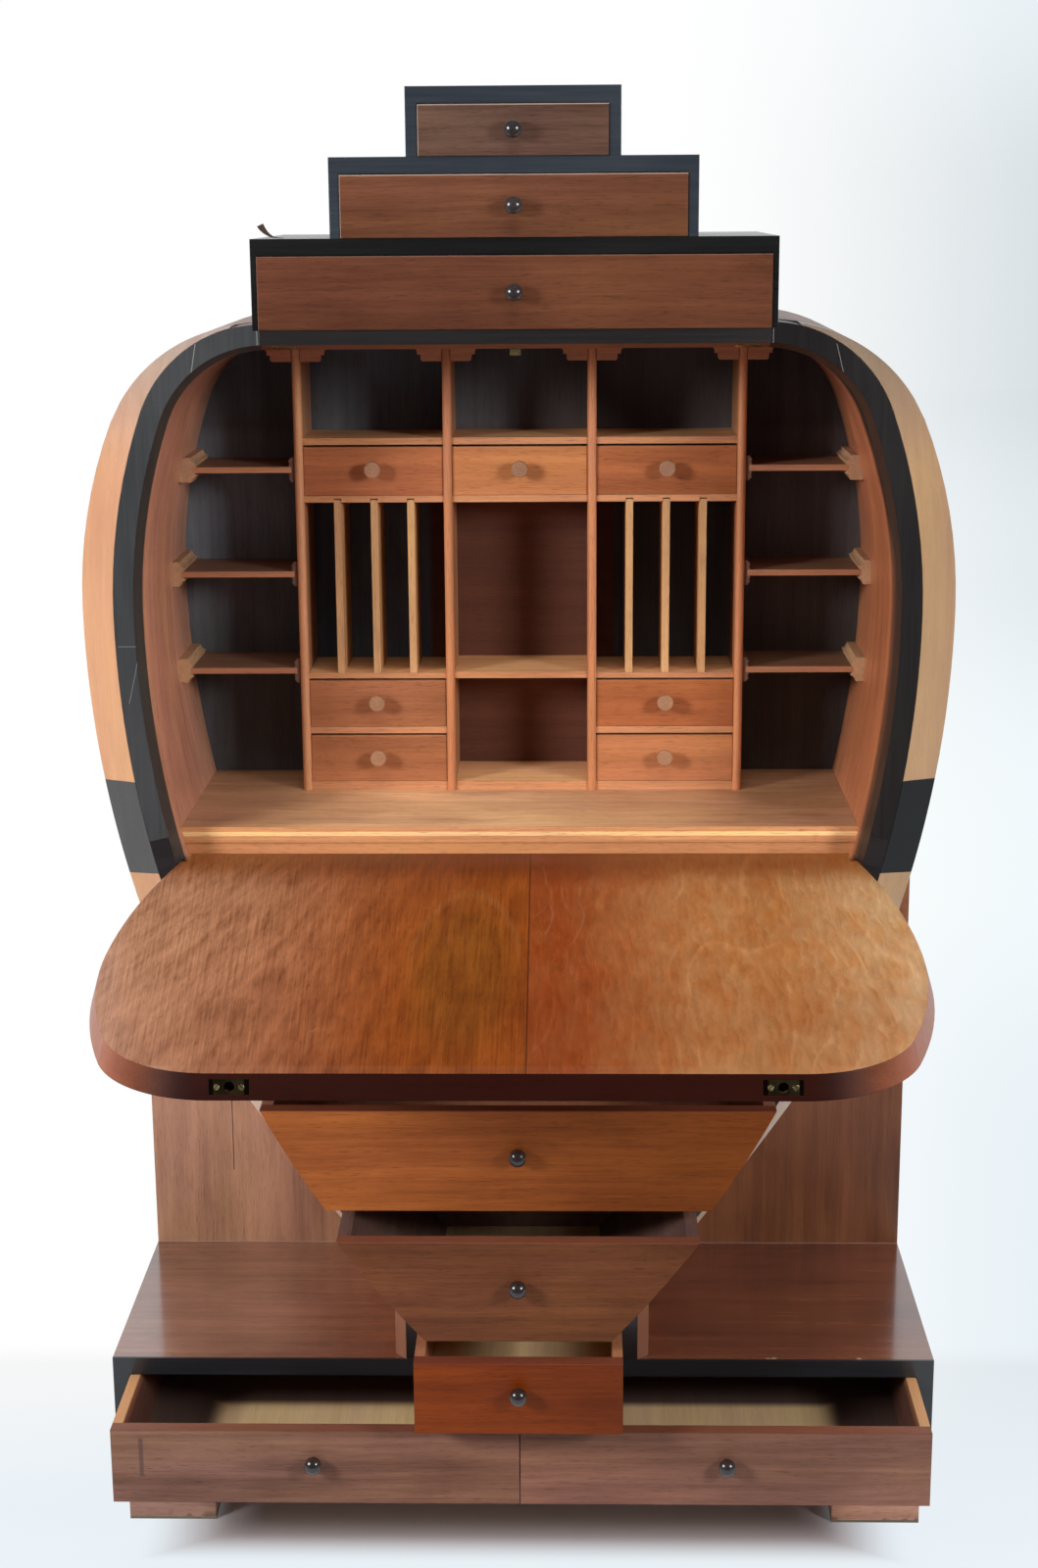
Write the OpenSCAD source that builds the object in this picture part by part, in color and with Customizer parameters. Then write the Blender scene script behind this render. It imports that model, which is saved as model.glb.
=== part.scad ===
// Balloon-shaped writing desk with a drop flap. Millimetres, X right, front faces -Y, Z up.
// The black front face is the plane y = 0 before the whole part is centred on its footprint.

/* [Plinth and feet] */
// Width of the plinth
plinth_w = 910; // [840:5:1000]
// Depth of the plinth over the back board
plinth_d = 310; // [290:5:380]
// Height of the plinth without its feet
plinth_h = 126; // [110:1:150]
// Height of a foot with its pad
foot_h = 79; // [50:1:100]
// Width of a foot
foot_w = 98; // [70:1:130]
// Depth of a foot
foot_d = 86; // [60:1:120]
// Distance of a foot from the plinth's ends
foot_in = 9; // [4:1:20]
// Thickness of the felt pad under a foot
pad_t = 3; // [1:0.5:6]
// Thickness of the plinth's top and bottom boards
board_t = 20; // [16:1:26]
// Width of the black stiles beside the drawers
stile_w = 18; // [14:0.5:24]
// Thickness of the black facing on every front edge
face_t = 3; // [2:0.5:5]
// Thickness of the back board
back_t = 8; // [6:0.5:12]

/* [Central block] */
// Width of the black front of the block
block_w = 254.8; // [240:0.2:280]
// Width across the bevels of the block
block_out_w = 280.8; // [266:0.2:310]
// Height of the opening of the lowest drawer
low_open_h = 81; // [70:1:88]
// Height of the opening of the middle drawer
mid_open_h = 112; // [100:1:118]
// Height of the opening of the upper drawer
top_open_h = 112; // [100:1:118]
// Thickness of the boards between the drawers
shelf_t = 18; // [14:0.5:20]

/* [Balloon case] */
// Distance of the balloon's black front from the plinth's ends
balloon_in = 42; // [30:1:60]
// Height of the widest point over the plinth
wide_h = 835; // [820:1:850]
// Height of the balloon's shoulder over the plinth
shoulder_h = 1128; // [1110:1:1150]
// Radius of the front's lower side curve
side_r = 1108; // [1060:1:1160]
// Radius of the front's upper side curve
upper_r = 600; // [540:1:680]
// Radius of the front's shoulder curve
corner_r = 135; // [110:1:160]
// Width of the black band round the openings
band_w = 26.5; // [20:0.5:34]
// Width of the light bevel at its widest
bevel_w = 40; // [30:0.5:46]
// Depth of the bevel for one millimetre of its width
bevel_k = 1; // [0.8:0.05:1.1]
// Radius of the case's upper side curve
out_upper_r = 490; // [450:1:540]
// Radius of the case's shoulder curve
out_corner_r = 172; // [165:1:205]
// Radius with which the case draws in below the belt
out_draw_r = 600; // [520:5:700]
// Angle where the case starts to draw in
draw_a = 16; // [12:0.5:20]
// Slope of the tapered lower case
taper_a = 36; // [32:0.5:40]
// Lower edge of the black belt over the plinth
belt_lo = 560; // [540:1:580]
// Upper edge of the black belt over the plinth
belt_hi = 659; // [640:1:680]
// Height of the joint in the black band over the plinth
joint_h = 598; // [585:1:615]
// Half length of the straight top rail
rail_half = 254; // [240:1:258]

/* [Flap] */
// Height of the flap's sill over the plinth
sill_h = 552; // [540:1:556]
// Thickness of the flap
flap_t = 22; // [18:0.5:26]
// Height of the pivot over the sill
pivot_h = 12; // [11:0.5:14]
// Radius of the pivot pins
pivot_r = 4; // [3:0.25:5]
// Length of a pivot pin beyond the flap
pivot_l = 8; // [6:0.5:12]
// How far the open flap dips below level, in degrees
flap_dip = 4; // [0:0.5:6]
// Clearance between the flap and its frame
flap_gap = 1.5; // [1:0.25:3]
// How much wider the flap's outer face is than its inner face, on each edge
flap_rev = 6.5; // [2:0.5:8]
// How far the rebate runs down past the start of the flap's slanted edge
rev_drop = 8; // [7:0.5:12]
// How far in from the shoulders the strike plates sit
strike_in = 18.3; // [17.5:0.1:50]
// Width of a side catch
catch_w = 26; // [20:1:32]
// Depth of a side catch
catch_d = 10; // [8:0.5:14]
// Thickness of a side catch
catch_t = 1; // [0.5:0.1:2]
// Distance of the catches from the closed flap
catch_gap = 4; // [2:0.5:6]
// Width of the middle catch
latch_w = 11; // [8:0.5:16]
// Depth of the middle catch
latch_d = 9; // [6:0.5:14]
// Height of the middle catch
latch_h = 7; // [4:0.5:10]

/* [Stepped top] */
// Width of the lower step
step3_w = 521.6; // [515:0.2:540]
// Height of the lower step
step3_h = 89; // [80:1:100]
// Width of the middle step
step2_w = 362.6; // [340:0.2:380]
// Height of the middle step
step2_h = 77.5; // [70:0.5:90]
// Width of the upper step
step1_w = 210.4; // [190:0.2:230]
// Height of the upper step
step1_h = 66; // [56:0.5:76]
// Depth of the stepped top
step_d = 290; // [260:1:300]
// Thickness of the lower step's sides
step3_side = 5.5; // [4:0.5:8]
// Thickness of the middle step's sides
step2_side = 10; // [8:0.5:14]
// Thickness of the upper step's sides
step1_side = 11.5; // [8:0.5:14]
// Thickness of a step's top board
step_top = 16; // [12:0.5:20]

/* [Inside] */
// Top of the fixed floor over the plinth
floor_h = 599; // [592:1:604]
// Thickness of the fixed floor
floor_t = 17; // [14:0.5:20]
// Setback of the fixed floor behind the front
floor_in = 42; // [36:1:50]
// Depth of the pigeonhole unit
unit_d = 96; // [80:1:110]
// Half distance between the two inner dividers
inner_x = 79; // [72:0.5:86]
// Half distance between the two outer dividers
outer_x = 242; // [232:0.5:250]
// Thickness of a divider
divider_t = 9.6; // [7:0.2:12]
// Thickness of a shelf in the unit
unit_t = 7.5; // [6:0.5:12]
// Height of a small drawer's opening
small_h = 55.5; // [46:0.5:58]
// Height of the letter slots
slot_h = 191; // [170:1:200]
// Thickness of the board under the letter slots
slot_t = 6; // [5:0.5:9]
// Thickness of a letter slot's partition
part_t = 8; // [4:0.5:9]
// Thickness of a shelf at the side
side_t = 6.5; // [5:0.5:9]
// Height of the highest side shelf over the fixed floor
side_z1 = 358.3; // [345:0.1:380]
// Height of the middle side shelf over the fixed floor
side_z2 = 243; // [230:0.5:255]
// Height of the lowest side shelf over the fixed floor
side_z3 = 134.2; // [120:0.1:150]
// Width of a shelf clip at the case's side
clip_w = 13; // [10:0.5:16]
// Height of a shelf clip
clip_h = 27; // [22:0.5:32]
// Depth of the groove that holds a shelf's end
clip_in = 3; // [2:0.5:5]
// Width of a stepped bracket
bracket_w = 73; // [50:1:74]
// Height of a stepped bracket
bracket_h = 24; // [18:0.5:30]

/* [Drawers] */
// Thickness of a large drawer's front
front_t = 16; // [12:0.5:20]
// Thickness of a large drawer's sides and back
wall_t = 11; // [8:0.5:14]
// Thickness of a drawer's bottom
bottom_t = 6; // [4:0.5:8]
// Clearance at the sides and top of a drawer
side_gap = 1; // [0.5:0.1:1.5]
// Clearance under a drawer
slide_gap = 0.3; // [0.2:0.05:0.4]
// Depth of the plinth's and block's drawers
drawer_d = 278; // [240:1:284]
// Depth of the drawers in the stepped top
step_drawer_d = 268; // [230:1:276]
// Depth of the small drawers
small_d = 88; // [70:1:92]
// Thickness of a small drawer's front
small_front = 9; // [6:0.5:12]
// Thickness of a small drawer's sides
small_wall = 5; // [4:0.5:7]
// Clearance at the sides of a small drawer
small_gap = 0.4; // [0.3:0.05:1]
// Clearance over a small drawer
small_top = 2.5; // [1:0.25:4]
// How far the plinth's drawers stand out
pull_plinth = 121; // [0:1:180]
// How far the lowest block drawer stands out
pull_low = 162; // [0:1:180]
// How far the middle block drawer stands out
pull_mid = 150; // [0:1:180]
// How far the upper block drawer stands out
pull_top = 115; // [0:1:180]
// Diameter of a black knob
knob_d = 17; // [14:0.5:22]
// Length of a black knob
knob_l = 20; // [16:0.5:26]
// Height of a lower knob over the middle of its front
knob_up = 8; // [0:1:14]
// Diameter of a light knob on a small drawer
small_knob_d = 18; // [12:0.5:20]
// Length of a light knob
small_knob_l = 18; // [12:0.5:22]
// Height of a light knob over the middle of its front
small_knob_up = 2; // [0:0.5:5]

/* [Hidden] */
$fn = 128;

big = 4000;
eps = 0.01;
z0 = foot_h + plinth_h;              // top of the plinth
zw = z0 + wide_h;                    // widest point
zs = z0 + shoulder_h;                // top of the shoulder
back_y = plinth_d - back_t;          // front face of the back board
bw = plinth_w / 2 - balloon_in;        // half width of the black front

// Black front: three tangent arcs a side
lc = [bw - side_r, zw];
uc = [bw - upper_r, zw];
cc_z = zs - corner_r;
cc = [uc[0] + sqrt(pow(upper_r - corner_r, 2) - pow(cc_z - zw, 2)), cc_z];
cj = atan2(cc[1] - uc[1], cc[0] - uc[0]);
block_z = zw - sqrt(pow(side_r, 2) - pow(block_w / 2 - lc[0], 2));

// Case behind the bevel: its own arcs, then a straight taper to the block
ol_r = side_r + bevel_w;
ou_r = out_upper_r;
ouc = [bw + bevel_w - ou_r, zw];
oc_z = zs - out_corner_r;
occ = [ouc[0] + sqrt(pow(ou_r - out_corner_r, 2) - pow(oc_z - zw, 2)), oc_z];
ocj = atan2(occ[1] - ouc[1], occ[0] - ouc[0]);
obc = [lc[0] + (ol_r - out_draw_r) * cos(draw_a), zw - (ol_r - out_draw_r) * sin(draw_a)];
ob_z1 = zw - ol_r * sin(draw_a);
ob_end = [obc[0] + out_draw_r * cos(taper_a), obc[1] - out_draw_r * sin(taper_a)];
tn = [cos(taper_a), -sin(taper_a)];
kink_z = ob_end[1] - (ob_end[0] - block_out_w / 2) / tan(taper_a);
bevel_back = bevel_w * bevel_k + 5;

// Openings in the block, from the plinth up
low_z = z0;
low_top = low_z + low_open_h;
mid_z = low_top + shelf_t;
mid_top = mid_z + mid_open_h;
top_z = mid_top + shelf_t;
top_top = top_z + top_open_h;
low_half = block_w / 2 - stile_w;
sill_z = z0 + sill_h;
in_top = zs - band_w;                // underside of the case top
lid_z = in_top + shelf_t + 2;        // floor of the lower step

// Inside unit
unit_y = back_y - unit_d;
fl_z = z0 + floor_h;
b_z = [for (i = [0:5]) fl_z + [0, 10, 10 + small_h + unit_t, 10 + 2 * small_h + unit_t,
       10 + 2 * small_h + unit_t + slot_t + slot_h,
       10 + 3 * small_h + 2 * unit_t + slot_t + slot_h][i]];
row3_z = fl_z + 10;                       // lowest small drawers
row2_z = row3_z + small_h + unit_t;       // middle small drawers
slot_z = row2_z + small_h + slot_t;       // letter slots
row1_z = slot_z + slot_h + unit_t;        // upper small drawers
open_z = row1_z + small_h + unit_t;       // open bays at the top
mid_bay = [-inner_x + divider_t / 2, inner_x - divider_t / 2];
side_bay = [inner_x + divider_t / 2, outer_x - divider_t / 2];

// Flap, described closed and then turned about its pivot
piv = [flap_t / 2 + 1, sill_z + pivot_h];
flap_top = in_top - flap_gap;
flap_l = flap_top - piv[1];
open_a = 90 + flap_dip;
tip_y = piv[0] - flap_t / 2 * cos(open_a) - (flap_l + flap_rev) * sin(open_a);
heel_top = piv[1] + flap_t / 2 + 3;      // where the flap's slanted edge starts
rev_z = heel_top - rev_drop;             // where the slanted rebate starts
strike_x = cc[0] - strike_in;
y_off = -(tip_y + plinth_d) / 2;

module centred() { translate([0, y_off, 0]) children(); }
// A front-view outline (x, z) swept from depth y1 to y2
module sweep(y1, y2) { translate([0, y2, 0]) rotate([90, 0, 0]) linear_extrude(y2 - y1) children(); }
module band2d(z1, z2, half = 600) { translate([-half, z1]) square([2 * half, z2 - z1]); }
module both() { children(); mirror([1, 0]) children(); }

// Sector left of a shoulder arc, cut off outside the arc
module shoulder_cut(c, r, j) {
  difference() {
    polygon([c, [c[0], c[1] + 600], [c[0] + 900, c[1] + 600], [c[0] + 900, c[1] + 900 * tan(j)]]);
    translate(c) circle(r);
  }
}
// Outline of the black front, drawn in by o
module front2d(o = 0, zlo = 0) {
  intersection() {
    union() {
      both() intersection() {
        translate(lc) circle(side_r - o, $fn = 480);
        translate([-1, zlo]) square([big, zw - zlo]);
      }
      both() difference() {
        intersection() {
          translate(uc) circle(upper_r - o, $fn = 480);
          translate([-1, zw]) square([big, zs - o - zw]);
        }
        shoulder_cut(cc, corner_r - o, cj);
      }
    }
    band2d(zlo, zs - o);
  }
}
// Solid between two outlines of the balloon, drawn in by o1 at depth y1 and by o2 at depth y2
module cone_at(c, r, y1, y2, o1, o2) {
  translate([c[0], y2, c[1]]) rotate([90, 0, 0]) cylinder(h = y2 - y1, r1 = r - o2, r2 = r - o1, $fn = 480);
}
lap = 2;
module balloon3d(y1, y2, o1, o2, zlo) {
  rotate([90, 0, 90]) translate([0, 0, -cc[0]]) linear_extrude(2 * cc[0])
    polygon([[y1, zlo], [y2, zlo], [y2, zs - o2], [y1, zs - o1]]);
  both3() intersection() {
    cone_at(lc, side_r, y1, y2, o1, o2);
    translate([0, y1 - 1, zlo]) cube([big, y2 - y1 + 2, zw - zlo]);
  }
  both3() intersection() {
    cone_at(uc, upper_r, y1, y2, o1, o2);
    sweep(y1 - 1, y2 + 1)
      polygon([[0, zw], [big, zw], cc + 900 * [cos(cj + lap), sin(cj + lap)], cc, [0, cc[1]]]);
  }
  both3() intersection() {
    cone_at(cc, corner_r, y1, y2, o1, o2);
    sweep(y1 - 1, y2 + 1) polygon([cc, cc + 900 * [cos(cj - 15), sin(cj - 15)], cc + [900, 900], cc + [0, 900]]);
  }
}
rev_y = piv[0] + flap_t / 2;             // inner face of the closed flap
rev_w = flap_rev * rev_y / flap_t;       // width of the rebate at the front plane
rev_o = band_w - rev_w * (1 - face_t / rev_y);
module rebate() { balloon3d(0, rev_y, band_w - rev_w, band_w, rev_z); }
// Outline of the case behind the bevel
module case2d() {
  both() difference() {
    intersection() {
      translate(ouc) circle(ou_r, $fn = 480);
      translate([-1, zw]) square([big, zs - zw]);
    }
    shoulder_cut(occ, out_corner_r, ocj);
  }
  both() intersection() {
    translate(lc) circle(ol_r, $fn = 480);
    translate([-1, ob_z1]) square([big, zw - ob_z1]);
  }
  both() intersection() {
    translate(obc) circle(out_draw_r, $fn = 480);
    translate([-1, ob_end[1]]) square([big, ob_z1 - ob_end[1]]);
  }
  polygon([[-ob_end[0], ob_end[1]], [ob_end[0], ob_end[1]],
           [block_out_w / 2, kink_z], [-block_out_w / 2, kink_z]]);
  translate([-block_out_w / 2, z0]) square([block_out_w, kink_z - z0]);
}
// Room inside the case: the balloon and the lowest drawer's opening
module room2d() {
  front2d(band_w, low_top);
  translate([-low_half, z0]) square([2 * low_half, low_open_h]);
}
// Black front including the straight block
module black2d() {
  front2d(0, block_z - 20);
  translate([-block_w / 2, z0]) square([block_w, block_z - z0 + 20]);
}

// Stations of the bevel: a point on the black front, the normal, and the way to the case's outline
function pol(c, r, a) = [c[0] + r * cos(a), c[1] + r * sin(a)];
function nrm(a) = [cos(a), sin(a)];
function hit(p, n, c, r) = let (d = p - c, b = d * n, q = d * d - r * r) -b + sqrt(max(b * b - q, 0));
function ang(p, c) = atan2(p[1] - c[1], p[0] - c[0]);
function reach_up(p, n) = let (t = hit(p, n, occ, out_corner_r)) ang(p + t * n, occ) >= ocj ? t
  : hit(p, n, ouc, ou_r);
function reach_low(p, n) = let (t = hit(p, n, lc, ol_r)) ang(p + t * n, lc) >= -draw_a ? t
  : let (t2 = hit(p, n, obc, out_draw_r)) ang(p + t2 * n, obc) >= -taper_a ? t2
  : ((ob_end - p) * tn) / (n * tn);
function up_pt(a) = a >= cj ? pol(cc, corner_r, a) : pol(uc, upper_r, a);
function station(p, n, t) = [p + 0.25 * n, p + max(t, 0.8) * n, max(t * bevel_k, 0.6)];
a_start = 76;
a_block = -asin((zw - block_z) / side_r);
a_hi = -asin((zw - z0 - belt_hi) / side_r);
a_lo = -asin((zw - z0 - belt_lo) / side_r);
up_n = 34;
st_up = [for (i = [0:up_n]) let (a = a_start * (1 - i / up_n), p = up_pt(a))
  station(p, nrm(a), reach_up(p, nrm(a)))];
function st_low(a1, a2, n) = [for (i = [0:n]) let (a = a1 + (a2 - a1) * i / n, p = pol(lc, side_r, a))
  station(p, nrm(a), reach_low(p, nrm(a)))];
kink_in = [block_w / 2, block_z];
st_block = [[[block_w / 2 + 0.25, block_z - 1.5], [block_out_w / 2, min(kink_z, block_z - 2)],
             (block_out_w - block_w) / 2 * bevel_k],
            [[block_w / 2 + 0.25, z0], [block_out_w / 2, z0], (block_out_w - block_w) / 2 * bevel_k]];
st_tail = [for (s = st_low(a_lo, a_block, 26)) if (s[1][0] > block_out_w / 2 + 0.5) s];

module loft(st) {
  n = len(st);
  pts = [for (s = st) each [[s[0][0], 0, s[0][1]], [s[1][0], s[2], s[1][1]],
         [s[1][0], bevel_back, s[1][1]], [s[0][0], bevel_back, s[0][1]]]];
  faces = concat([[3, 2, 1, 0]], [for (i = [0:n - 2]) each [for (k = [0:3])
    let (a = 4 * i + k, b = 4 * i + (k + 1) % 4) each [[b, a + 4, a], [b + 4, a + 4, b]]]],
    [[4 * n - 4, 4 * n - 3, 4 * n - 2, 4 * n - 1]]);
  polyhedron(pts, faces, convexity = 8);
}
module bevel_side() {
  loft(concat(st_up, [for (i = [1:8]) st_low(0, a_hi, 8)[i]]));
  loft(concat(st_tail, st_block));
}
module belt_side() { loft(st_low(a_hi, a_lo, 8)); }

// Stand
module foot2() { both3() both_d() translate([plinth_w / 2 - foot_in - foot_w, foot_in, 0]) children(); }
module both3() { children(); mirror([1, 0, 0]) children(); }
module both_d() { children(); translate([0, plinth_d, 0]) mirror([0, 1, 0]) children(); }
module feet() { color("#7a3f28") centred() foot2() translate([0, 0, pad_t]) cube([foot_w, foot_d, foot_h - pad_t]); }
module foot_pads() { color("#c9c4a8") centred() foot2() cube([foot_w, foot_d, pad_t]); }

module plinth_case() {
  color("#6b3321") centred() difference() {
    translate([-plinth_w / 2, face_t, foot_h]) cube([plinth_w, plinth_d - face_t, plinth_h]);
    translate([-plinth_w / 2 + stile_w, face_t - 1, foot_h + board_t])
      cube([plinth_w - 2 * stile_w, plinth_d - back_t - face_t - 3, plinth_h - 2 * board_t]);
  }
}
module plinth_front() {
  color("#191516") centred() sweep(0, face_t) difference() {
    translate([-plinth_w / 2, foot_h]) square([plinth_w, plinth_h]);
    translate([-plinth_w / 2 + stile_w, foot_h + board_t]) square([plinth_w - 2 * stile_w, plinth_h - 2 * board_t]);
  }
}

// Back board: a rectangle up to the widest point, then the balloon's outline
module back_panel() {
  color("#7d4530") centred() sweep(back_y, plinth_d) {
    translate([-plinth_w / 2, z0]) square([plinth_w, wide_h]);
    intersection() { case2d(); band2d(zw, zs); }
  }
}

// Case sides: thick bent sides, cut back where the bevel runs
module sides() {
  sweep(bevel_back, back_y) difference() { case2d(); room2d(); }
  sweep(face_t, bevel_back) difference() { black2d(); room2d(); }
}
pin_gap = 0.08;
module pin_hole() {
  translate([heel_half - 1, piv[0], piv[1]]) rotate([0, 90, 0]) cylinder(h = pivot_l + 2.5, r = pivot_r + pin_gap);
}
module side_right() {
  color("#8a4a30") centred() difference() {
    intersection() { sides(); side_box(); }
    translate([0, -1, lid_z]) cube([step3_w / 2, big, big]);
    pin_hole();
    rebate();
  }
}
module side_box() {
  translate([rail_half, -1, lid_z - 400]) cube([big, 400, big]);
  translate([stile_w, -1, 0]) cube([big, 400, lid_z - 300]);
}
module side_left() { mirror([1, 0, 0]) side_right(); }
module case_top() {
  color("#6b3321") centred() difference() {
    translate([-rail_half, face_t, in_top]) cube([2 * rail_half, back_y - face_t, lid_z - in_top]);
    rebate();
  }
}

// Black facing
module ring2d() {
  difference() {
    intersection() { black2d(); band2d(z0, zs); }
    front2d(band_w, sill_z);
    front2d(rev_o, rev_z);
    translate([-step3_w / 2, lid_z]) square([step3_w, 200]);
  }
}
module joint2d() { polygon([[0, zw + lc[0] * tan(-a_joint)], pol(lc, 1600, a_joint), [2000, 0], [0, 0]]); }
a_joint = -asin((zw - z0 - joint_h) / (side_r - band_w / 2));
module frame_right() {
  color("#161314") centred() sweep(0, face_t) difference() {
    intersection() { ring2d(); translate([rail_half, 0]) square([big, big]); }
    joint2d();
  }
}
module frame_left() { mirror([1, 0, 0]) frame_right(); }
module top_rail() {
  color("#161314") centred() translate([-rail_half, 0, zs - rev_o]) cube([2 * rail_half, face_t, lid_z - zs + rev_o]);
}
module block_front() {
  color("#161314") centred() sweep(0, face_t) difference() {
    intersection() { ring2d(); union() { both() joint2d(); band2d(0, sill_z); } }
    intersection() { front2d(band_w, mid_z); band2d(mid_z, mid_top); }
    intersection() { front2d(band_w, top_z); band2d(top_z, top_top); }
    translate([-low_half, low_z - 1]) square([2 * low_half, low_open_h + 1]);
  }
}
module bevel_right() { color("#d09a6a") centred() bevel_side(); }
module bevel_left() { mirror([1, 0, 0]) bevel_right(); }
module belts() { color("#1d191a") centred() both3() belt_side(); }

// Stepped top
module step_case(w, z, h, side) {
  centred() difference() {
    translate([-w / 2, 0, z]) cube([w, step_d, h]);
    translate([-w / 2 + side, -1, z - 1]) cube([w - 2 * side, step_d - wall_t + 1, h - step_top + 1]);
  }
}
s3_z = lid_z;
s2_z = s3_z + step3_h;
s1_z = s2_z + step2_h;
module step3_case() { color("#161314") step_case(step3_w, s3_z, step3_h, step3_side); }
module step2_case() { color("#161314") step_case(step2_w, s2_z, step2_h, step2_side); }
module step1_case() { color("#161314") step_case(step1_w, s1_z, step1_h, step1_side); }

// Fixed floor with its apron, and the boards between the drawers
module floor_board() {
  color("#a8744e") centred() {
    sweep(floor_in, back_y) intersection() { front2d(band_w, sill_z); band2d(fl_z - floor_t, fl_z); }
    sweep(floor_in + 1, floor_in + 17) intersection() { front2d(band_w, sill_z); band2d(sill_z, fl_z - floor_t); }
  }
}
module dust_boards() {
  color("#8a5a3c") centred() for (z = [low_top, mid_top, top_top, sill_z - shelf_t])
    sweep(face_t, back_y) intersection() { front2d(band_w, low_top); band2d(z, z + shelf_t); }
  color("#8a5a3c") centred() sweep(face_t, shelf_t) intersection() {
    front2d(band_w, low_top);
    band2d(top_top + shelf_t - eps, sill_z - shelf_t + eps);
  }
}

// Pigeonholes
module divider(x) {
  translate([x - divider_t / 2, unit_y, fl_z]) cube([divider_t, unit_d, in_top - fl_z]);
  translate([x, unit_y, fl_z]) cylinder(h = in_top - fl_z, r = divider_t / 2);
}
module dividers() { color("#7a4128") centred() for (x = [-outer_x, -inner_x, inner_x, outer_x]) divider(x); }
module bay_board(b, z, t) { translate([b[0], unit_y, z]) cube([b[1] - b[0], unit_d, t]); }
module unit_shelves() {
  color("#8a4a30") centred() {
    both3() {
      bay_board(side_bay, fl_z, row3_z - fl_z);
      bay_board(side_bay, row2_z - unit_t, unit_t);
      bay_board(side_bay, slot_z - slot_t, slot_t);
      difference() {
        bay_board(side_bay, row1_z - unit_t, unit_t);
        for (i = [1:3]) translate([part_x(i), unit_y - 1, row1_z - unit_t - 1]) cube([part_t, unit_d + 2, groove_h + 1]);
      }
      bay_board(side_bay, open_z - unit_t, unit_t);
    }
    bay_board(mid_bay, fl_z, row3_z - fl_z);
    bay_board(mid_bay, slot_z - slot_t, unit_t);
    bay_board(mid_bay, row1_z - unit_t, unit_t);
    bay_board(mid_bay, open_z - unit_t, unit_t);
  }
}
slot_w = (side_bay[1] - side_bay[0] - 3 * part_t) / 4;
groove_h = 4;
function part_x(i) = side_bay[0] + i * slot_w + (i - 1) * part_t;
module slot_partitions() {
  color("#c58d5c") centred() both3() for (i = [1:3])
    translate([part_x(i), unit_y + 1, slot_z]) cube([part_t, unit_d - 1, slot_h + groove_h - 1.5]);
}
// Stepped brackets under the top, one across each divider
module bracket2d() {
  both() difference() {
    union() {
      translate([divider_t / 2, -bracket_h]) square([bracket_w / 2 - 9 - divider_t / 2, bracket_h]);
      translate([0, -bracket_h + 7]) square([bracket_w / 2 - 3, bracket_h - 7]);
      translate([0, -8]) square([bracket_w / 2, 8]);
    }
    translate([bracket_w / 2 - 1, -bracket_h + 9]) circle(4.5);
    translate([bracket_w / 2 - 7, -bracket_h - 1]) circle(3.5);
    translate([-1, -bracket_h - 1]) square([divider_t / 2 + 1, bracket_h + 2]);
  }
}
module brackets() {
  color("#7a4128") centred() sweep(unit_y - 3, unit_y + 4) intersection() {
    for (x = [-outer_x, -inner_x, inner_x, outer_x]) translate([x, in_top]) bracket2d();
    front2d(band_w, sill_z);
  }
}

// Side shelves in scalloped clips
function wall_x(z) = z >= zw ? uc[0] + sqrt(pow(upper_r - band_w, 2) - pow(z - zw, 2))
  : lc[0] + sqrt(pow(side_r - band_w, 2) - pow(zw - z, 2));
side_zs = [fl_z + side_z1, fl_z + side_z2, fl_z + side_z3];
side_x1 = outer_x + divider_t / 2;
clip_w2 = clip_w / 2;
function clip_x(z) = min(wall_x(z - clip_h / 2), wall_x(z + side_t + clip_h / 2));
function shelf_x(z) = clip_x(z) - clip_w + clip_in;
module side_shelf(z) {
  x1 = side_x1 + clip_w2 - clip_in;
  translate([x1, unit_y, z]) cube([shelf_x(z) - x1, unit_d, side_t]);
}
module side_shelves() { color("#9a6440") centred() both3() for (z = side_zs) side_shelf(z); }
// Scalloped outline of a clip, its back at x = 0 and its nose at x = -w
module clip2d(w) {
  difference() {
    translate([-w, -clip_h / 2]) square([w + 30, clip_h]);
    for (s = [-1, 1]) {
      translate([-w - 1, s * clip_h / 2]) circle(w * 0.5);
      translate([-w - 0.8, s * (clip_h / 2 - w * 0.5 - 3)]) circle(1.8);
    }
    translate([-w - 1, -side_t / 2]) square([clip_in + 1, side_t]);
  }
}
module shelf_clips() {
  color("#d2a679") centred() both3() sweep(unit_y, back_y) {
    intersection() {
      for (z = side_zs) translate([clip_x(z), z + side_t / 2]) clip2d(clip_w);
      front2d(band_w, sill_z);
    }
    intersection() {
      for (z = side_zs) translate([side_x1, z + side_t / 2]) mirror([1, 0]) clip2d(clip_w2);
      translate([side_x1, sill_z]) square([60, 500]);
    }
  }
}

// Strike plates, catches and pivots
module catches() {
  color("#b08a3e") centred() {
    both3() translate([strike_x, rev_y, in_top]) rotate([-rev_a, 0, 0])
      translate([-catch_w / 2, -catch_d - catch_gap, -catch_t]) cube([catch_w, catch_d, catch_t]);
    translate([-latch_w / 2, flap_t + catch_gap, in_top - latch_h]) cube([latch_w, latch_d, latch_h]);
  }
}
strike_w = 34;
strike_h = 13;
module flap_pose() {
  translate([0, piv[0], piv[1]]) rotate([open_a, 0, 0]) translate([0, -piv[0], -piv[1]]) children();
}
rev_a = atan(flap_rev / flap_t);
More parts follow.
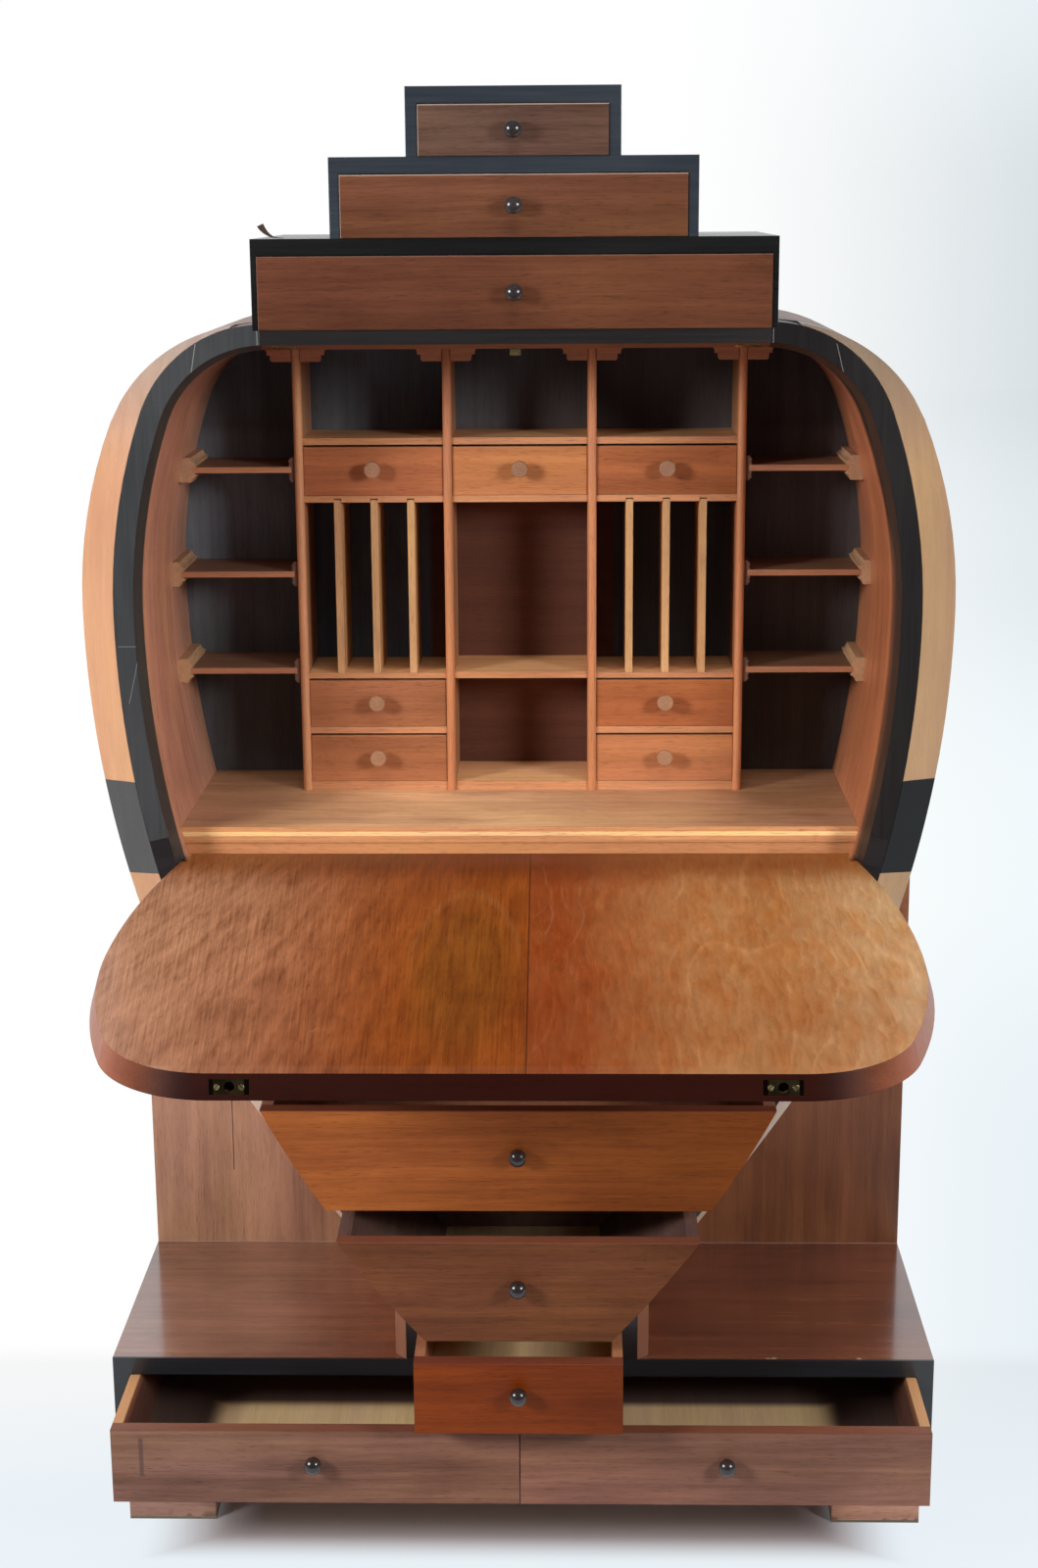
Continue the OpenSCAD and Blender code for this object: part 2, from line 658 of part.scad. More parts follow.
// A child drawn on the flap's slanted edge, at x = 0 and with its middle line at y = 0, z = 0
module on_edge() {
  translate([0, piv[0], flap_top + flap_rev / 2]) rotate([-rev_a, 0, 0]) children();
}
module strike(t) {
  on_edge() translate([-strike_w / 2, -strike_h / 2, -t]) cube([strike_w, strike_h, t + (t > 2 ? 5 : 0)]);
}
heel_half = wall_x(sill_z) - 1;
module flap() {
  color("#8c4f2e") centred() flap_pose() difference() {
    union() {
      balloon3d(piv[0] - flap_t / 2, rev_y, band_w + flap_gap - flap_rev, band_w + flap_gap, heel_top);
      sweep(piv[0] - flap_t / 2, rev_y)
        translate([-heel_half, piv[1]]) square([2 * heel_half, heel_top - piv[1] + 1]);
      translate([-heel_half, piv[0], sill_z + flap_gap])
        cube([2 * heel_half, flap_t / 2, piv[1] - sill_z - flap_gap]);
      translate([-heel_half, piv[0], piv[1]]) rotate([0, 90, 0]) cylinder(h = 2 * heel_half, r = flap_t / 2);
    }
    both3() translate([strike_x, 0, 0]) { strike(2.01); strike_hole(); }
    both3() translate([heel_half - 2, piv[0] - flap_t / 2 + 1, sill_z]) cube([10, flap_t, heel_top - sill_z - 1]);
  }
}
module strike_hole() { on_edge() translate([0, 0, -15]) cylinder(h = 20, r = 4.5); }
module flap_strikes() {
  color("#b08a3e") centred() flap_pose() both3() translate([strike_x, 0, 0]) difference() { strike(2); strike_hole(); }
}
module flap_hinges() {
  color("#b08a3e") centred() flap_pose() both3() {
    intersection() {
      translate([heel_half - 2, piv[0] - flap_t / 2 + 1, sill_z + flap_gap])
        cube([2, flap_t - 1, heel_top - 1 - sill_z - flap_gap]);
      union() {
        translate([0, piv[0], piv[1]]) rotate([0, 90, 0]) cylinder(h = heel_half, r = flap_t / 2);
        translate([0, piv[0], sill_z]) cube([heel_half, flap_t / 2, heel_top]);
        translate([0, piv[0] - flap_t / 2, piv[1]]) cube([heel_half, flap_t, heel_top]);
      }
    }
    translate([heel_half - 1, piv[0], piv[1]]) rotate([0, 90, 0]) cylinder(h = pivot_l + 1, r = pivot_r);
  }
}

// Drawers
module knob(d, l) {
  rotate([90, 0, 0]) {
    cylinder(h = l - 3, r = d * 0.26);
    rotate_extrude() intersection() {
      translate([0, l - d * 0.62]) circle(d * 0.62);
      translate([0, l * 0.4]) square([d / 2, l]);
    }
  }
}
module box_drawer(x1, x2, z1, z2, y, d, ft, wt) {
  translate([0, y, 0]) difference() {
    translate([x1, 0, z1]) cube([x2 - x1, d, z2 - z1]);
    translate([x1 + wt, ft, z1 + bottom_t]) cube([x2 - x1 - 2 * wt, d - ft - wt, z2 - z1]);
  }
}
module curved_drawer(z1, z2, y) {
  difference() {
    sweep(y, y + drawer_d) intersection() { front2d(band_w + side_gap, z1); band2d(z1, z2); }
    sweep(y + front_t, y + drawer_d - wall_t) intersection() {
      front2d(band_w + side_gap + wall_t, z1 + bottom_t);
      band2d(z1 + bottom_t, z2 + 5);
    }
  }
}
pl_z1 = foot_h + board_t + slide_gap;
pl_z2 = z0 - board_t - side_gap;
pl_half = plinth_w / 2 - stile_w - side_gap;
module drawer_plinth_right() {
  color("#94543a") centred() box_drawer(side_gap / 2, pl_half, pl_z1, pl_z2, -pull_plinth, drawer_d, front_t, wall_t);
}
module drawer_plinth_left() { mirror([1, 0, 0]) drawer_plinth_right(); }
knob_x = plinth_w / 4 - 8;
module knob_plinth_right() {
  color("#151212") centred() translate([knob_x, -pull_plinth, (pl_z1 + pl_z2) / 2 + knob_up]) knob(knob_d, knob_l);
}
module knob_plinth_left() { mirror([1, 0, 0]) knob_plinth_right(); }
module drawer_low() {
  color("#94543a") centred() box_drawer(-low_half + side_gap, low_half - side_gap, low_z + slide_gap,
    low_top - side_gap, -pull_low, drawer_d, front_t, wall_t);
}
module mid_knob(y, z1, z2) { translate([0, -y, (z1 + z2) / 2 + knob_up]) knob(knob_d, knob_l); }
module knob_low() { color("#151212") centred() mid_knob(pull_low, low_z, low_top); }
module drawer_mid() { color("#94543a") centred() curved_drawer(mid_z + slide_gap, mid_top - side_gap, -pull_mid); }
module knob_mid() { color("#151212") centred() mid_knob(pull_mid, mid_z, mid_top); }
module drawer_top() { color("#94543a") centred() curved_drawer(top_z + slide_gap, top_top - side_gap, -pull_top); }
module knob_top() { color("#151212") centred() mid_knob(pull_top, top_z, top_top); }

proud = 1.5;
module step_drawer(w, side, z, h) {
  color("#94543a") centred() box_drawer(-w / 2 + side + side_gap / 2, w / 2 - side - side_gap / 2, z + slide_gap,
    z + h - step_top - side_gap, -proud, step_drawer_d, front_t, wall_t);
}
module step_knob(z, h) {
  color("#151212") centred() translate([0, -proud, z + (h - step_top) / 2]) knob(knob_d, knob_l);
}
module drawer_step1() { step_drawer(step1_w, step1_side, s1_z, step1_h); }
module knob_step1() { step_knob(s1_z, step1_h); }
module drawer_step2() { step_drawer(step2_w, step2_side, s2_z, step2_h); }
module knob_step2() { step_knob(s2_z, step2_h); }
module drawer_step3() { step_drawer(step3_w, step3_side, s3_z, step3_h); }
module knob_step3() { step_knob(s3_z, step3_h); }

module small_drawer(b, z) {
  color("#a05c3a") centred() box_drawer(b[0] + small_gap, b[1] - small_gap, z + slide_gap,
    z + small_h - small_top, unit_y, small_d, small_front, small_wall);
}
module small_knob(b, z) {
  color("#c99561") centred() translate([(b[0] + b[1]) / 2, unit_y, z + small_h / 2 + small_knob_up])
    rotate([90, 0, 0]) rotate_extrude() button2d(small_knob_d / 2, small_knob_l);
}
// Half profile of a turned button: neck, flare and a flat face with a soft edge
module button2d(r, l) {
  difference() {
    square([r, l]);
    translate([r * 0.42 + l, l * 0.1]) circle(l);
    translate([r * 0.42, 0]) square([r, l * 0.12]);
    difference() {
      translate([r - 1.5, l - 1.5]) square(3);
      translate([r - 1.5, l - 1.5]) circle(1.5);
    }
  }
  translate([r * 0.72, l * 0.62]) difference() {
    square([r * 0.28, l * 0.3]);
    translate([r * 0.28 + 4, -1.2]) circle(4.6);
  }
}
left_bay = [-side_bay[1], -side_bay[0]];
module drawer_a1() { small_drawer(left_bay, row1_z); }
module drawer_a2() { small_drawer(mid_bay, row1_z); }
module drawer_a3() { small_drawer(side_bay, row1_z); }
module drawer_b1() { small_drawer(left_bay, row2_z); }
module drawer_b3() { small_drawer(side_bay, row2_z); }
module drawer_c1() { small_drawer(left_bay, row3_z); }
module drawer_c3() { small_drawer(side_bay, row3_z); }
module knob_a1() { small_knob(left_bay, row1_z); }
module knob_a2() { small_knob(mid_bay, row1_z); }
module knob_a3() { small_knob(side_bay, row1_z); }
module knob_b1() { small_knob(left_bay, row2_z); }
module knob_b3() { small_knob(side_bay, row2_z); }
module knob_c1() { small_knob(left_bay, row3_z); }
module knob_c3() { small_knob(side_bay, row3_z); }

plinth_case();
plinth_front();
feet();
foot_pads();
back_panel();
side_left();
side_right();
case_top();
frame_left();
frame_right();
top_rail();
block_front();
bevel_left();
bevel_right();
belts();
step1_case();
step2_case();
step3_case();
floor_board();
dust_boards();
dividers();
unit_shelves();
slot_partitions();
brackets();
side_shelves();
shelf_clips();
catches();
flap();
flap_strikes();
flap_hinges();
drawer_plinth_left();
knob_plinth_left();
drawer_plinth_right();
knob_plinth_right();
drawer_low();
knob_low();
drawer_mid();
knob_mid();
drawer_top();
knob_top();
drawer_step1();
knob_step1();
drawer_step2();
knob_step2();
drawer_step3();
knob_step3();
drawer_a1();
knob_a1();
drawer_a2();
knob_a2();
drawer_a3();
knob_a3();
drawer_b1();
knob_b1();
drawer_b3();
knob_b3();
drawer_c1();
knob_c1();
drawer_c3();
knob_c3();
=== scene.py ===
"""Balloon-shaped writing desk with a drop flap, a stepped top of drawers and a wide plinth.

Mahogany and a pale wood for the bevels, with black-polished fronts, as in the photograph. Metres, X to the
desk's right as seen from the front, -Y towards the user, Z up, the floor at z = 0.
"""
import math
import bpy
import bmesh
from mathutils import Matrix, Vector


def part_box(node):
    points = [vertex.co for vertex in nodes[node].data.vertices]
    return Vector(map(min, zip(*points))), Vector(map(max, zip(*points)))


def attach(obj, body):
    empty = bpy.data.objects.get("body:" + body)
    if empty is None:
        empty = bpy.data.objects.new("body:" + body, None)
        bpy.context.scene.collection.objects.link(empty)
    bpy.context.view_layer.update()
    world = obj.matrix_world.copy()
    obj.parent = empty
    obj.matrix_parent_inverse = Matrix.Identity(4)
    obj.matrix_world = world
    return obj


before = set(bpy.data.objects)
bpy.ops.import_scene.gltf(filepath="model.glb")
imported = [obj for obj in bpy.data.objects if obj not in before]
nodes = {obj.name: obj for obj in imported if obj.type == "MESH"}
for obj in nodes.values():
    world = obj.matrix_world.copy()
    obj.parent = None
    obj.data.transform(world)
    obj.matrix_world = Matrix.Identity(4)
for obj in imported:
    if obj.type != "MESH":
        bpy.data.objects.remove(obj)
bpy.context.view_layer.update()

# ---------------------------------------------------------------- camera
# The photographer stood in front of the desk, a little right of its middle, and looked 14 degrees down.
# The picture is 1059 x 1600; 2400 pixels of focal length are a 54 mm lens on a 36 mm long side.
yaw, pitch, roll = math.radians(1.31177), math.radians(13.99557), math.radians(-0.40319)
look = Vector((-math.sin(yaw) * math.cos(pitch), math.cos(yaw) * math.cos(pitch), -math.sin(pitch)))
right = Vector((math.cos(yaw), math.sin(yaw), 0))
above = right.cross(look)
side = right * math.cos(roll) + above * math.sin(roll)
up = above * math.cos(roll) - right * math.sin(roll)
lens = bpy.data.cameras.new("photo_camera")
lens.lens, lens.sensor_width, lens.sensor_fit = 54.0, 36.0, "AUTO"
lens.shift_x = (529.5 - 527.832) / 1600
lens.clip_end = 60
camera = bpy.data.objects.new("photo_camera", lens)
bpy.context.collection.objects.link(camera)
turn = Matrix((side, up, -look)).transposed().to_4x4()
camera.matrix_world = Matrix.Translation((0.05400, -2.26345, 1.45331)) @ turn
bpy.context.scene.camera = camera
bpy.context.scene.view_settings.view_transform = "Standard"


# ---------------------------------------------------------------- studio
# A white paper floor, two soft lamps above the stepped top, 45 degrees to the left and right, and a wide one
# overhead. The paper keeps the desk's shadow near its feet and is plain white further off, bluer to the right.
class Wire:
    """The output of a shader node. Arithmetic on it adds the Math or Vector Math nodes."""

    def __init__(self, tree, out):
        self.tree, self.out = tree, out

    def add(self, kind, wires=None, out=0, **settings):
        node = self.tree.nodes.new("ShaderNode" + kind)
        for key, value in settings.items():
            setattr(node, key, value)
        for key, value in (wires or {}).items():
            if isinstance(value, Wire):
                self.tree.links.new(value.out, node.inputs[key])
            else:
                node.inputs[key].default_value = value
        return Wire(self.tree, node.outputs[out] if len(node.outputs) else None)

    def sum(self, operation, a, b):
        wide = {"VECTOR", "RGBA"}
        if any(isinstance(w, tuple) or isinstance(w, Wire) and w.out.type in wide for w in (a, b)):
            a, b = [(w, w, w) if isinstance(w, (int, float)) else w for w in (a, b)]
            return self.add("VectorMath", {0: a, 1: b}, operation=operation)
        return self.add("Math", {0: a, 1: b}, operation=operation)

    def __add__(self, other): return self.sum("ADD", self, other)
    def __radd__(self, other): return self.sum("ADD", other, self)
    def __sub__(self, other): return self.sum("SUBTRACT", self, other)
    def __rsub__(self, other): return self.sum("SUBTRACT", other, self)
    def __mul__(self, other): return self.sum("MULTIPLY", self, other)
    def __rmul__(self, other): return self.sum("MULTIPLY", other, self)
    def __truediv__(self, other): return self.sum("DIVIDE", self, other)

    def split(self):
        node = self.add("SeparateXYZ", {0: self})
        return [Wire(self.tree, out) for out in node.out.node.outputs]

    def higher(self, other): return self.sum("MAXIMUM", self, other)
    def lower(self, other): return self.sum("MINIMUM", self, other)
    def size(self): return self.add("Math", {0: self}, operation="ABSOLUTE")

    def step(self, low, high, to_low=0.0, to_high=1.0):
        """Rises smoothly from to_low at low to to_high at high."""
        wires = {0: self, 1: low, 2: high, 3: to_low, 4: to_high}
        return self.add("MapRange", wires, interpolation_type="SMOOTHSTEP")

    def mix(self, other, share):
        """This colour with a share of the other one."""
        other = (*other, 1) if isinstance(other, tuple) and len(other) == 3 else other
        return self.add("Mix", {0: share, 6: self, 7: other}, out=2, data_type="RGBA")

    def noise(self, scale, detail=2.0, rough=0.5):
        return self.add("TexNoise", {"Vector": self, "Scale": scale, "Detail": detail, "Roughness": rough})

    def paint(self, colour):
        """A plain colour as a wire."""
        return self.add("Mix", {0: 0.0, 6: (*colour, 1), 7: (*colour, 1)}, out=2, data_type="RGBA")


def new_finish(name):
    finish = bpy.data.materials.new(name)
    finish.use_nodes = True
    finish.node_tree.nodes.clear()
    return finish, Wire(finish.node_tree, None)


def seen_directly(wire):
    """1 for what the lens, gloss and glass see, 0 for what lights the room."""
    ways = wire.add("LightPath").out.node.outputs
    ray = Wire(wire.tree, ways["Is Camera Ray"]) + Wire(wire.tree, ways["Is Glossy Ray"])
    return ray + Wire(wire.tree, ways["Is Transmission Ray"])


floor_mesh = bpy.data.meshes.new("studio_floor")
floor_mesh.from_pydata([(-14, -9, 0), (14, -9, 0), (14, 16, 0), (-14, 16, 0)], [], [(0, 1, 2, 3)])
floor = bpy.data.objects.new("studio_floor", floor_mesh)
bpy.context.collection.objects.link(floor)
floor_paint, wire = new_finish("white_floor")
x, y, z = wire.add("TexCoord", out=3).split()
beside = x.size()
lit_paper = ((beside - 0.33).step(0.0, 0.1)).higher((0.09 - y).step(0.0, 0.06)) * 0.88
off_desk = lit_paper.higher((beside - 0.47).higher(y - 0.25).higher(-0.45 - y).step(0.0, 0.3))
paper = wire.add("BsdfDiffuse", {"Color": (0.5, 0.46, 0.48, 1)})
far_off = ((x - 0.054) / (y + 2.26)).step(0.03, 0.26)
right_white = wire.paint((0.79, 0.87, 0.92)).mix((0.87, 0.94, 0.965), y.step(1.2, 2.6))
right_white = right_white.mix((0.73, 0.8, 0.845), y.step(3.0, 7.0)).mix((0.62, 0.69, 0.725), y.step(7.0, 15.0))
far_white = wire.paint((1.0, 1.0, 1.0)).mix(right_white, far_off)
white = wire.paint((0.87, 0.95, 1.0)).mix(far_white, y.step(0.1, 0.55))
gloss = Wire(wire.tree, wire.add("LightPath").out.node.outputs["Is Glossy Ray"])
dark_room = gloss * y.step(-0.5, -1.0)
glow = wire.add("Emission", {"Color": white * (1 - dark_room * 0.93), "Strength": 1.0})
cover = seen_directly(wire) * off_desk
wire.add("OutputMaterial", {0: wire.add("MixShader", {0: cover, 1: paper, 2: glow})})
floor_mesh.materials.append(floor_paint)

sky = bpy.data.worlds.new("studio")
bpy.context.scene.world = sky
sky.use_nodes = True
sky.node_tree.nodes.clear()
wire = Wire(sky.node_tree, None)
across, away, high = wire.add("TexCoord").split()
right_white = across.paint((0.62, 0.69, 0.725)).mix((0.74, 0.83, 0.88), high.step(0.0, 0.08))
corner = high.step(0.14, 0.28) * across.step(-0.06, -0.2)
corner_white = across.paint((1.0, 1.0, 1.0)).mix((0.87, 0.93, 0.97), corner)
white = corner_white.mix(right_white, across.step(0.03, 0.26))
gloss = Wire(sky.node_tree, wire.add("LightPath").out.node.outputs["Is Glossy Ray"])
lit = wire.paint((0.19, 0.195, 0.205)).mix((0.5, 0.53, 0.57), away.step(-0.3, 0.4))
white = white.mix((0.04, 0.042, 0.045), gloss * away.step(0.25, -0.1))
shade = lit.mix(white, seen_directly(wire))
wire.add("OutputWorld", {0: wire.add("Background", {"Color": shade, "Strength": 1.0})})


def soft_lamp(name, place, aim, size, watts):
    lamp = bpy.data.lights.new(name, "AREA")
    lamp.shape, lamp.size, lamp.energy = "DISK", size, watts
    stand = bpy.data.objects.new(name, lamp)
    stand.location = place
    stand.rotation_euler = (Vector(aim) - Vector(place)).to_track_quat("-Z", "Y").to_euler()
    bpy.context.collection.objects.link(stand)
    return stand


soft_lamp("lamp_left", (-2.35, -1.75, 1.9), (0, 0.1, 0.8), 0.8, 77)
soft_lamp("lamp_right", (2.25, -2.0, 1.9), (0, 0.1, 0.8), 0.8, 59)
lamp_above = soft_lamp("lamp_above", (0.1, -1.0, 3.3), (0, -0.1, 0.8), 1.6, 34)
lamp_above.visible_glossy = False


# ---------------------------------------------------------------- plinth case
# A wide low carcass of mahogany that the desk stands on, with the grain from end to end. Its top is polished
# dark, with three worn spots on the front edge and a thin pale line against the back board. It is lighter
# towards the left end, where a painted sheen of the white room lies over the wood.
def place_of(wire):
    return wire.add("TexCoord", out=3)


def turned(place, along):
    """Coordinates with the grain turned to run along the first axis."""
    x, y, z = place.split()
    first, second, third = {"x": (x, y, z), "y": (y, z, x), "z": (z, x, y)}[along]
    return place.add("CombineXYZ", {0: first, 1: second, 2: third})


def timber(place, body, along, seed=0.0, clouds=0.5, streaks=0.5, wander=0.012, pores=0.35):
    """Straight-grained wood of the mean colour body: its colour and its height from 0 to 1."""
    wood = turned(place, along) + (seed * 1.71, seed * 0.61, seed * 2.33)
    wave = (wood * (2.2, 9.0, 9.0)).noise(1.0)
    wave = wood.add("MapRange", {0: wave, 1: 0.0, 2: 1.0, 3: -wander, 4: wander})
    wood = wood + wood.add("CombineXYZ", {0: 0.0, 1: wave, 2: wave * 0.7})
    band = (wood * (2.0, 75.0, 75.0)).noise(1.0, 3.0, 0.6)
    fibre = (wood * (14.0, 560.0, 560.0)).noise(1.0, 3.0, 0.6)
    pore = (wood * (60.0, 1500.0, 1500.0)).noise(1.0, 1.0).step(0.58, 0.72)
    cloud = (wood * (4.0, 9.0, 9.0)).noise(1.0, 3.0, 0.55)
    tone = 0.5 + (cloud - 0.5) * (2.2 * clouds) + (band - 0.5) * (1.5 * streaks) + (fibre - 0.5) * streaks
    tone = tone.add("Clamp", {0: tone})
    body = body if isinstance(body, Wire) else wood.paint(body)
    warm = (wood * (3.0, 14.0, 14.0) + (5.0, 3.0, 1.0)).noise(1.0, 3.0, 0.6).step(0.32, 0.68)
    body = (body * (0.98, 0.955, 1.0)).mix(body * (1.02, 1.04, 0.94), warm)
    colour = (body * (0.56, 0.5, 0.48)).mix(body * (1.42, 1.47, 1.42), tone)
    colour = colour * (1 - pore * pores)
    return colour, fibre * 0.4 + (1 - pore) * 0.6


def hairline(place, start, end, width, soft=0.0004, axes="xz"):
    """1 on a straight thin line between two points of the front, or of the flap where axes is xy."""
    x, y, z = place.split()
    u, v = {"xz": (x, z), "xy": (x, y)}[axes]
    long = math.hypot(end[0] - start[0], end[1] - start[1])
    du, dv = (end[0] - start[0]) / long, (end[1] - start[1]) / long
    ahead = (u - start[0]) * du + (v - start[1]) * dv
    aside = ((u - start[0]) * dv - (v - start[1]) * du).size()
    inside = ahead.step(-0.001, 0.001) * ahead.step(long + 0.001, long - 0.001)
    return aside.step(width / 2 + soft, width / 2 - soft * 0.5) * inside


def polish(finish, wire, colour, rough, bump, depth=0.0001, coat=0.0, coat_rough=0.1, metal=0.0, shine=0.5,
           round_edge=0.0008, coat_ior=1.5):
    """The closing shader of a finish. bump is a height from 0 to 1 and depth its size in metres."""
    worn = {"Normal": wire.add("Bevel", {"Radius": round_edge}, samples=3)} if round_edge else {}
    relief = wire.add("Bump", {"Strength": 1.0, "Distance": depth, "Height": bump, **worn})
    shader = wire.add("BsdfPrincipled", {"Base Color": colour, "Roughness": rough, "Metallic": metal,
                                         "Coat Weight": coat, "Normal": relief})
    shader.out.node.inputs["Coat Roughness"].default_value = coat_rough
    shader.out.node.inputs["Coat IOR"].default_value = coat_ior
    shader.out.node.inputs["Specular IOR Level"].default_value = shine
    wire.add("OutputMaterial", {0: shader})
    return finish


def dress(finish, *names):
    for name in names:
        for holder in nodes[name].material_slots:
            holder.material = finish


low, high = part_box("plinth_case")
plinth_top, back_face = high[2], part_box("back_panel")[0][1]
finish, wire = new_finish("plinth_mahogany")
place = place_of(wire)
x, y, z = place.split()
# Lighter towards the left end: a painted sheen of the white room over the wood's own colour.
body = wire.paint((0.27, 0.125, 0.085)).mix((0.215, 0.062, 0.026), x.step(-0.3, -0.13))
body = body.mix((0.17, 0.052, 0.026), x.step(-0.05, 0.15))
colour, height = timber(place, body, "x", 25, clouds=0.8, streaks=0.8)
front_edge = z.step(plinth_top - 0.004, plinth_top - 0.001) * y.step(low[1] + 0.006, low[1] + 0.001)
chips = front_edge * (place * (90.0, 120.0, 120.0)).noise(1.0, 2.0).step(0.4, 0.55)
worn_spots = (x + 0.1235).size().step(0.008, 0.003)
for spot_x, rim_half, core_half in ((0.2762, 0.007, 0.003), (0.3785, 0.01, 0.004)):
    worn_spots = worn_spots.higher((x - spot_x).size().step(rim_half, core_half))
colour = colour.mix((0.62, 0.5, 0.38), chips * worn_spots)
# A thin pale grey line along the foot of the back board.
pale_joint_line = y.step(back_face - 0.0022, back_face - 0.0008) * z.step(plinth_top - 0.002, plinth_top - 0.001)
colour = colour.mix((0.55, 0.53, 0.5), pale_joint_line * 0.8)
smear = (place * (3.0, 9.0, 3.0)).noise(1.0, 3.0)
dress(polish(finish, wire, colour, 0.2 + (smear - 0.5) * 0.1, height, 0.00003, coat=1.0, shine=0.7,
             coat_ior=1.6), "plinth_case")


# ---------------------------------------------------------------- plinth facing
# Black-polished boards glued round the two plinth drawers, with faint brush lines along the wood and soft
# clouds in the sheen, where the polish was laid on unevenly.
def black_polish(name, along, tone, rough, seed, marks=(), coat=0.3):
    """Ebonised wood. marks are thin pale lines: start, end and share."""
    finish, wire = new_finish(name)
    place = place_of(wire)
    wood = turned(place, along) + (seed, seed * 0.3, seed * 0.7)
    brush = (wood * (10.0, 380.0, 380.0)).noise(1.0, 3.0, 0.65)
    cloud = (wood * (3.0, 9.0, 9.0)).noise(1.0, 3.0)
    thin = (brush - 0.5) * 0.9 + (cloud - 0.5) * 1.1 + 0.5
    tone = wire.paint(tone)
    colour = (tone * 0.6).mix(tone * (1.9, 1.6, 1.45), thin.add("Clamp", {0: thin}))
    for start, end, share in marks:
        colour = colour.mix((0.42, 0.4, 0.37), hairline(place, start, end, 0.0005) * share)
    gloss = rough + (cloud - 0.5) * 0.25 + (brush - 0.5) * 0.12
    return polish(finish, wire, colour, gloss, brush * 0.6 + cloud * 0.4, 0.00008, coat=coat, coat_rough=0.12)


dress(black_polish("black_plinth_facing", "x", (0.013, 0.016, 0.02), 0.33, 3), "plinth_front")


# ---------------------------------------------------------------- feet and pads
# Four square blocks of lighter mahogany fixed under the plinth and scuffed at the lower rim. Each stands on
# a thin pad of matted grey felt.
finish, wire = new_finish("foot_wood")
place = place_of(wire)
x, y, z = place.split()
body = wire.paint((0.48, 0.27, 0.205)).mix((0.6, 0.31, 0.22), x.step(-0.1, 0.1))
colour, height = timber(place, body, "x", 26, streaks=0.6)
scuff = z.step(0.014, 0.004) * (place * 70.0).noise(1.0, 3.0).step(0.45, 0.62)
colour = colour.mix((0.12, 0.075, 0.05), scuff * 0.7)
dress(polish(finish, wire, colour, 0.55, height, 0.0002), "feet")
finish, wire = new_finish("pad_felt")
place = place_of(wire)
tuft = (place * 900.0).noise(1.0, 4.0, 0.7)
clump = (place * 120.0).noise(1.0, 3.0)
colour = wire.paint((0.09, 0.085, 0.06)).mix((0.36, 0.34, 0.25), tuft * 0.6 + clump * 0.4)
dress(polish(finish, wire, colour, 0.95, tuft, 0.0006, shine=0.1, round_edge=0), "foot_pads")


# ---------------------------------------------------------------- back board
# A veneered board behind the whole desk, grain upright. Outside it is brown, with one shrinkage crack; painted
# light makes it paler at the left, and painted shade darker towards the plinth. Inside the case it is
# unpolished, painted near black and blue-black as shade, and browner behind the niche. The rear face is raw,
# plain wood.
finish, wire = new_finish("back_board_wood")
place = place_of(wire)
x, y, z = place.split()
# Paler at the left as painted light, and darker lower down as painted shade.
outside = wire.paint((0.71, 0.39, 0.255)).mix((0.34, 0.13, 0.058), x.step(-0.4, 0.1))
shade = z.step(0.75, 0.25)
outside = outside.mix(outside * (0.62, 0.58, 0.55), shade)
# Painted shade inside the case: near black with a blue cast in the bays, darker lower down in the side bays and
# above the top shelf.
bay_shade = wire.paint((0.075, 0.095, 0.13)).mix((0.066, 0.07, 0.075), x.step(-0.1, 0.1))
corner_shade = wire.paint((0.115, 0.13, 0.17)).mix((0.085, 0.075, 0.083), x.step(-0.1, 0.1))
corner_shade = (corner_shade * (0.55, 0.5, 0.42)).mix(corner_shade * (1.1, 1.05, 1.0), z.step(0.86, 1.2))
inside_shade = bay_shade.mix(corner_shade, x.size().step(0.24, 0.28)).mix(corner_shade * (0.68, 0.64, 0.62), z.step(1.19, 1.21))
sill, half_at_sill, half_at_most = 0.757, 0.37, 0.402
wall = ((z - sill) * 0.11 + half_at_sill).lower(half_at_most)
indoors = (x.size() - wall).step(0.002, -0.002) * z.step(sill - 0.007, sill - 0.001)
indoors = indoors * y.step(back_face + 0.004, back_face + 0.001)
body = outside.mix(inside_shade, indoors)
colour, height = timber(place, body, "z", 24, clouds=0.8, streaks=0.6, pores=0.25)
niche = timber(place, (0.1, 0.027, 0.011), "x", 45, clouds=0.3)[0]
colour = colour.mix(niche, x.size().step(0.11, 0.1) * z.step(1.21, 1.19) * indoors)
crack = hairline(place, (-0.3597, 0.62), (-0.3566, 0.52), 0.0016)
crack = crack.higher(hairline(place, (-0.3566, 0.53), (-0.3575, 0.30), 0.0007))
colour = colour.mix((0.006, 0.004, 0.003), crack)
raw = y.step(back_face + 0.0105, back_face + 0.0115)
plain = timber(place, (0.24, 0.13, 0.08), "z", 44, clouds=0.4, streaks=0.4)[0]
colour = colour.mix(plain, raw)
dress(polish(finish, wire, colour, 0.4 + indoors * 0.35 + raw * 0.3, height - crack * 0.9, 0.0002),
      "back_panel")


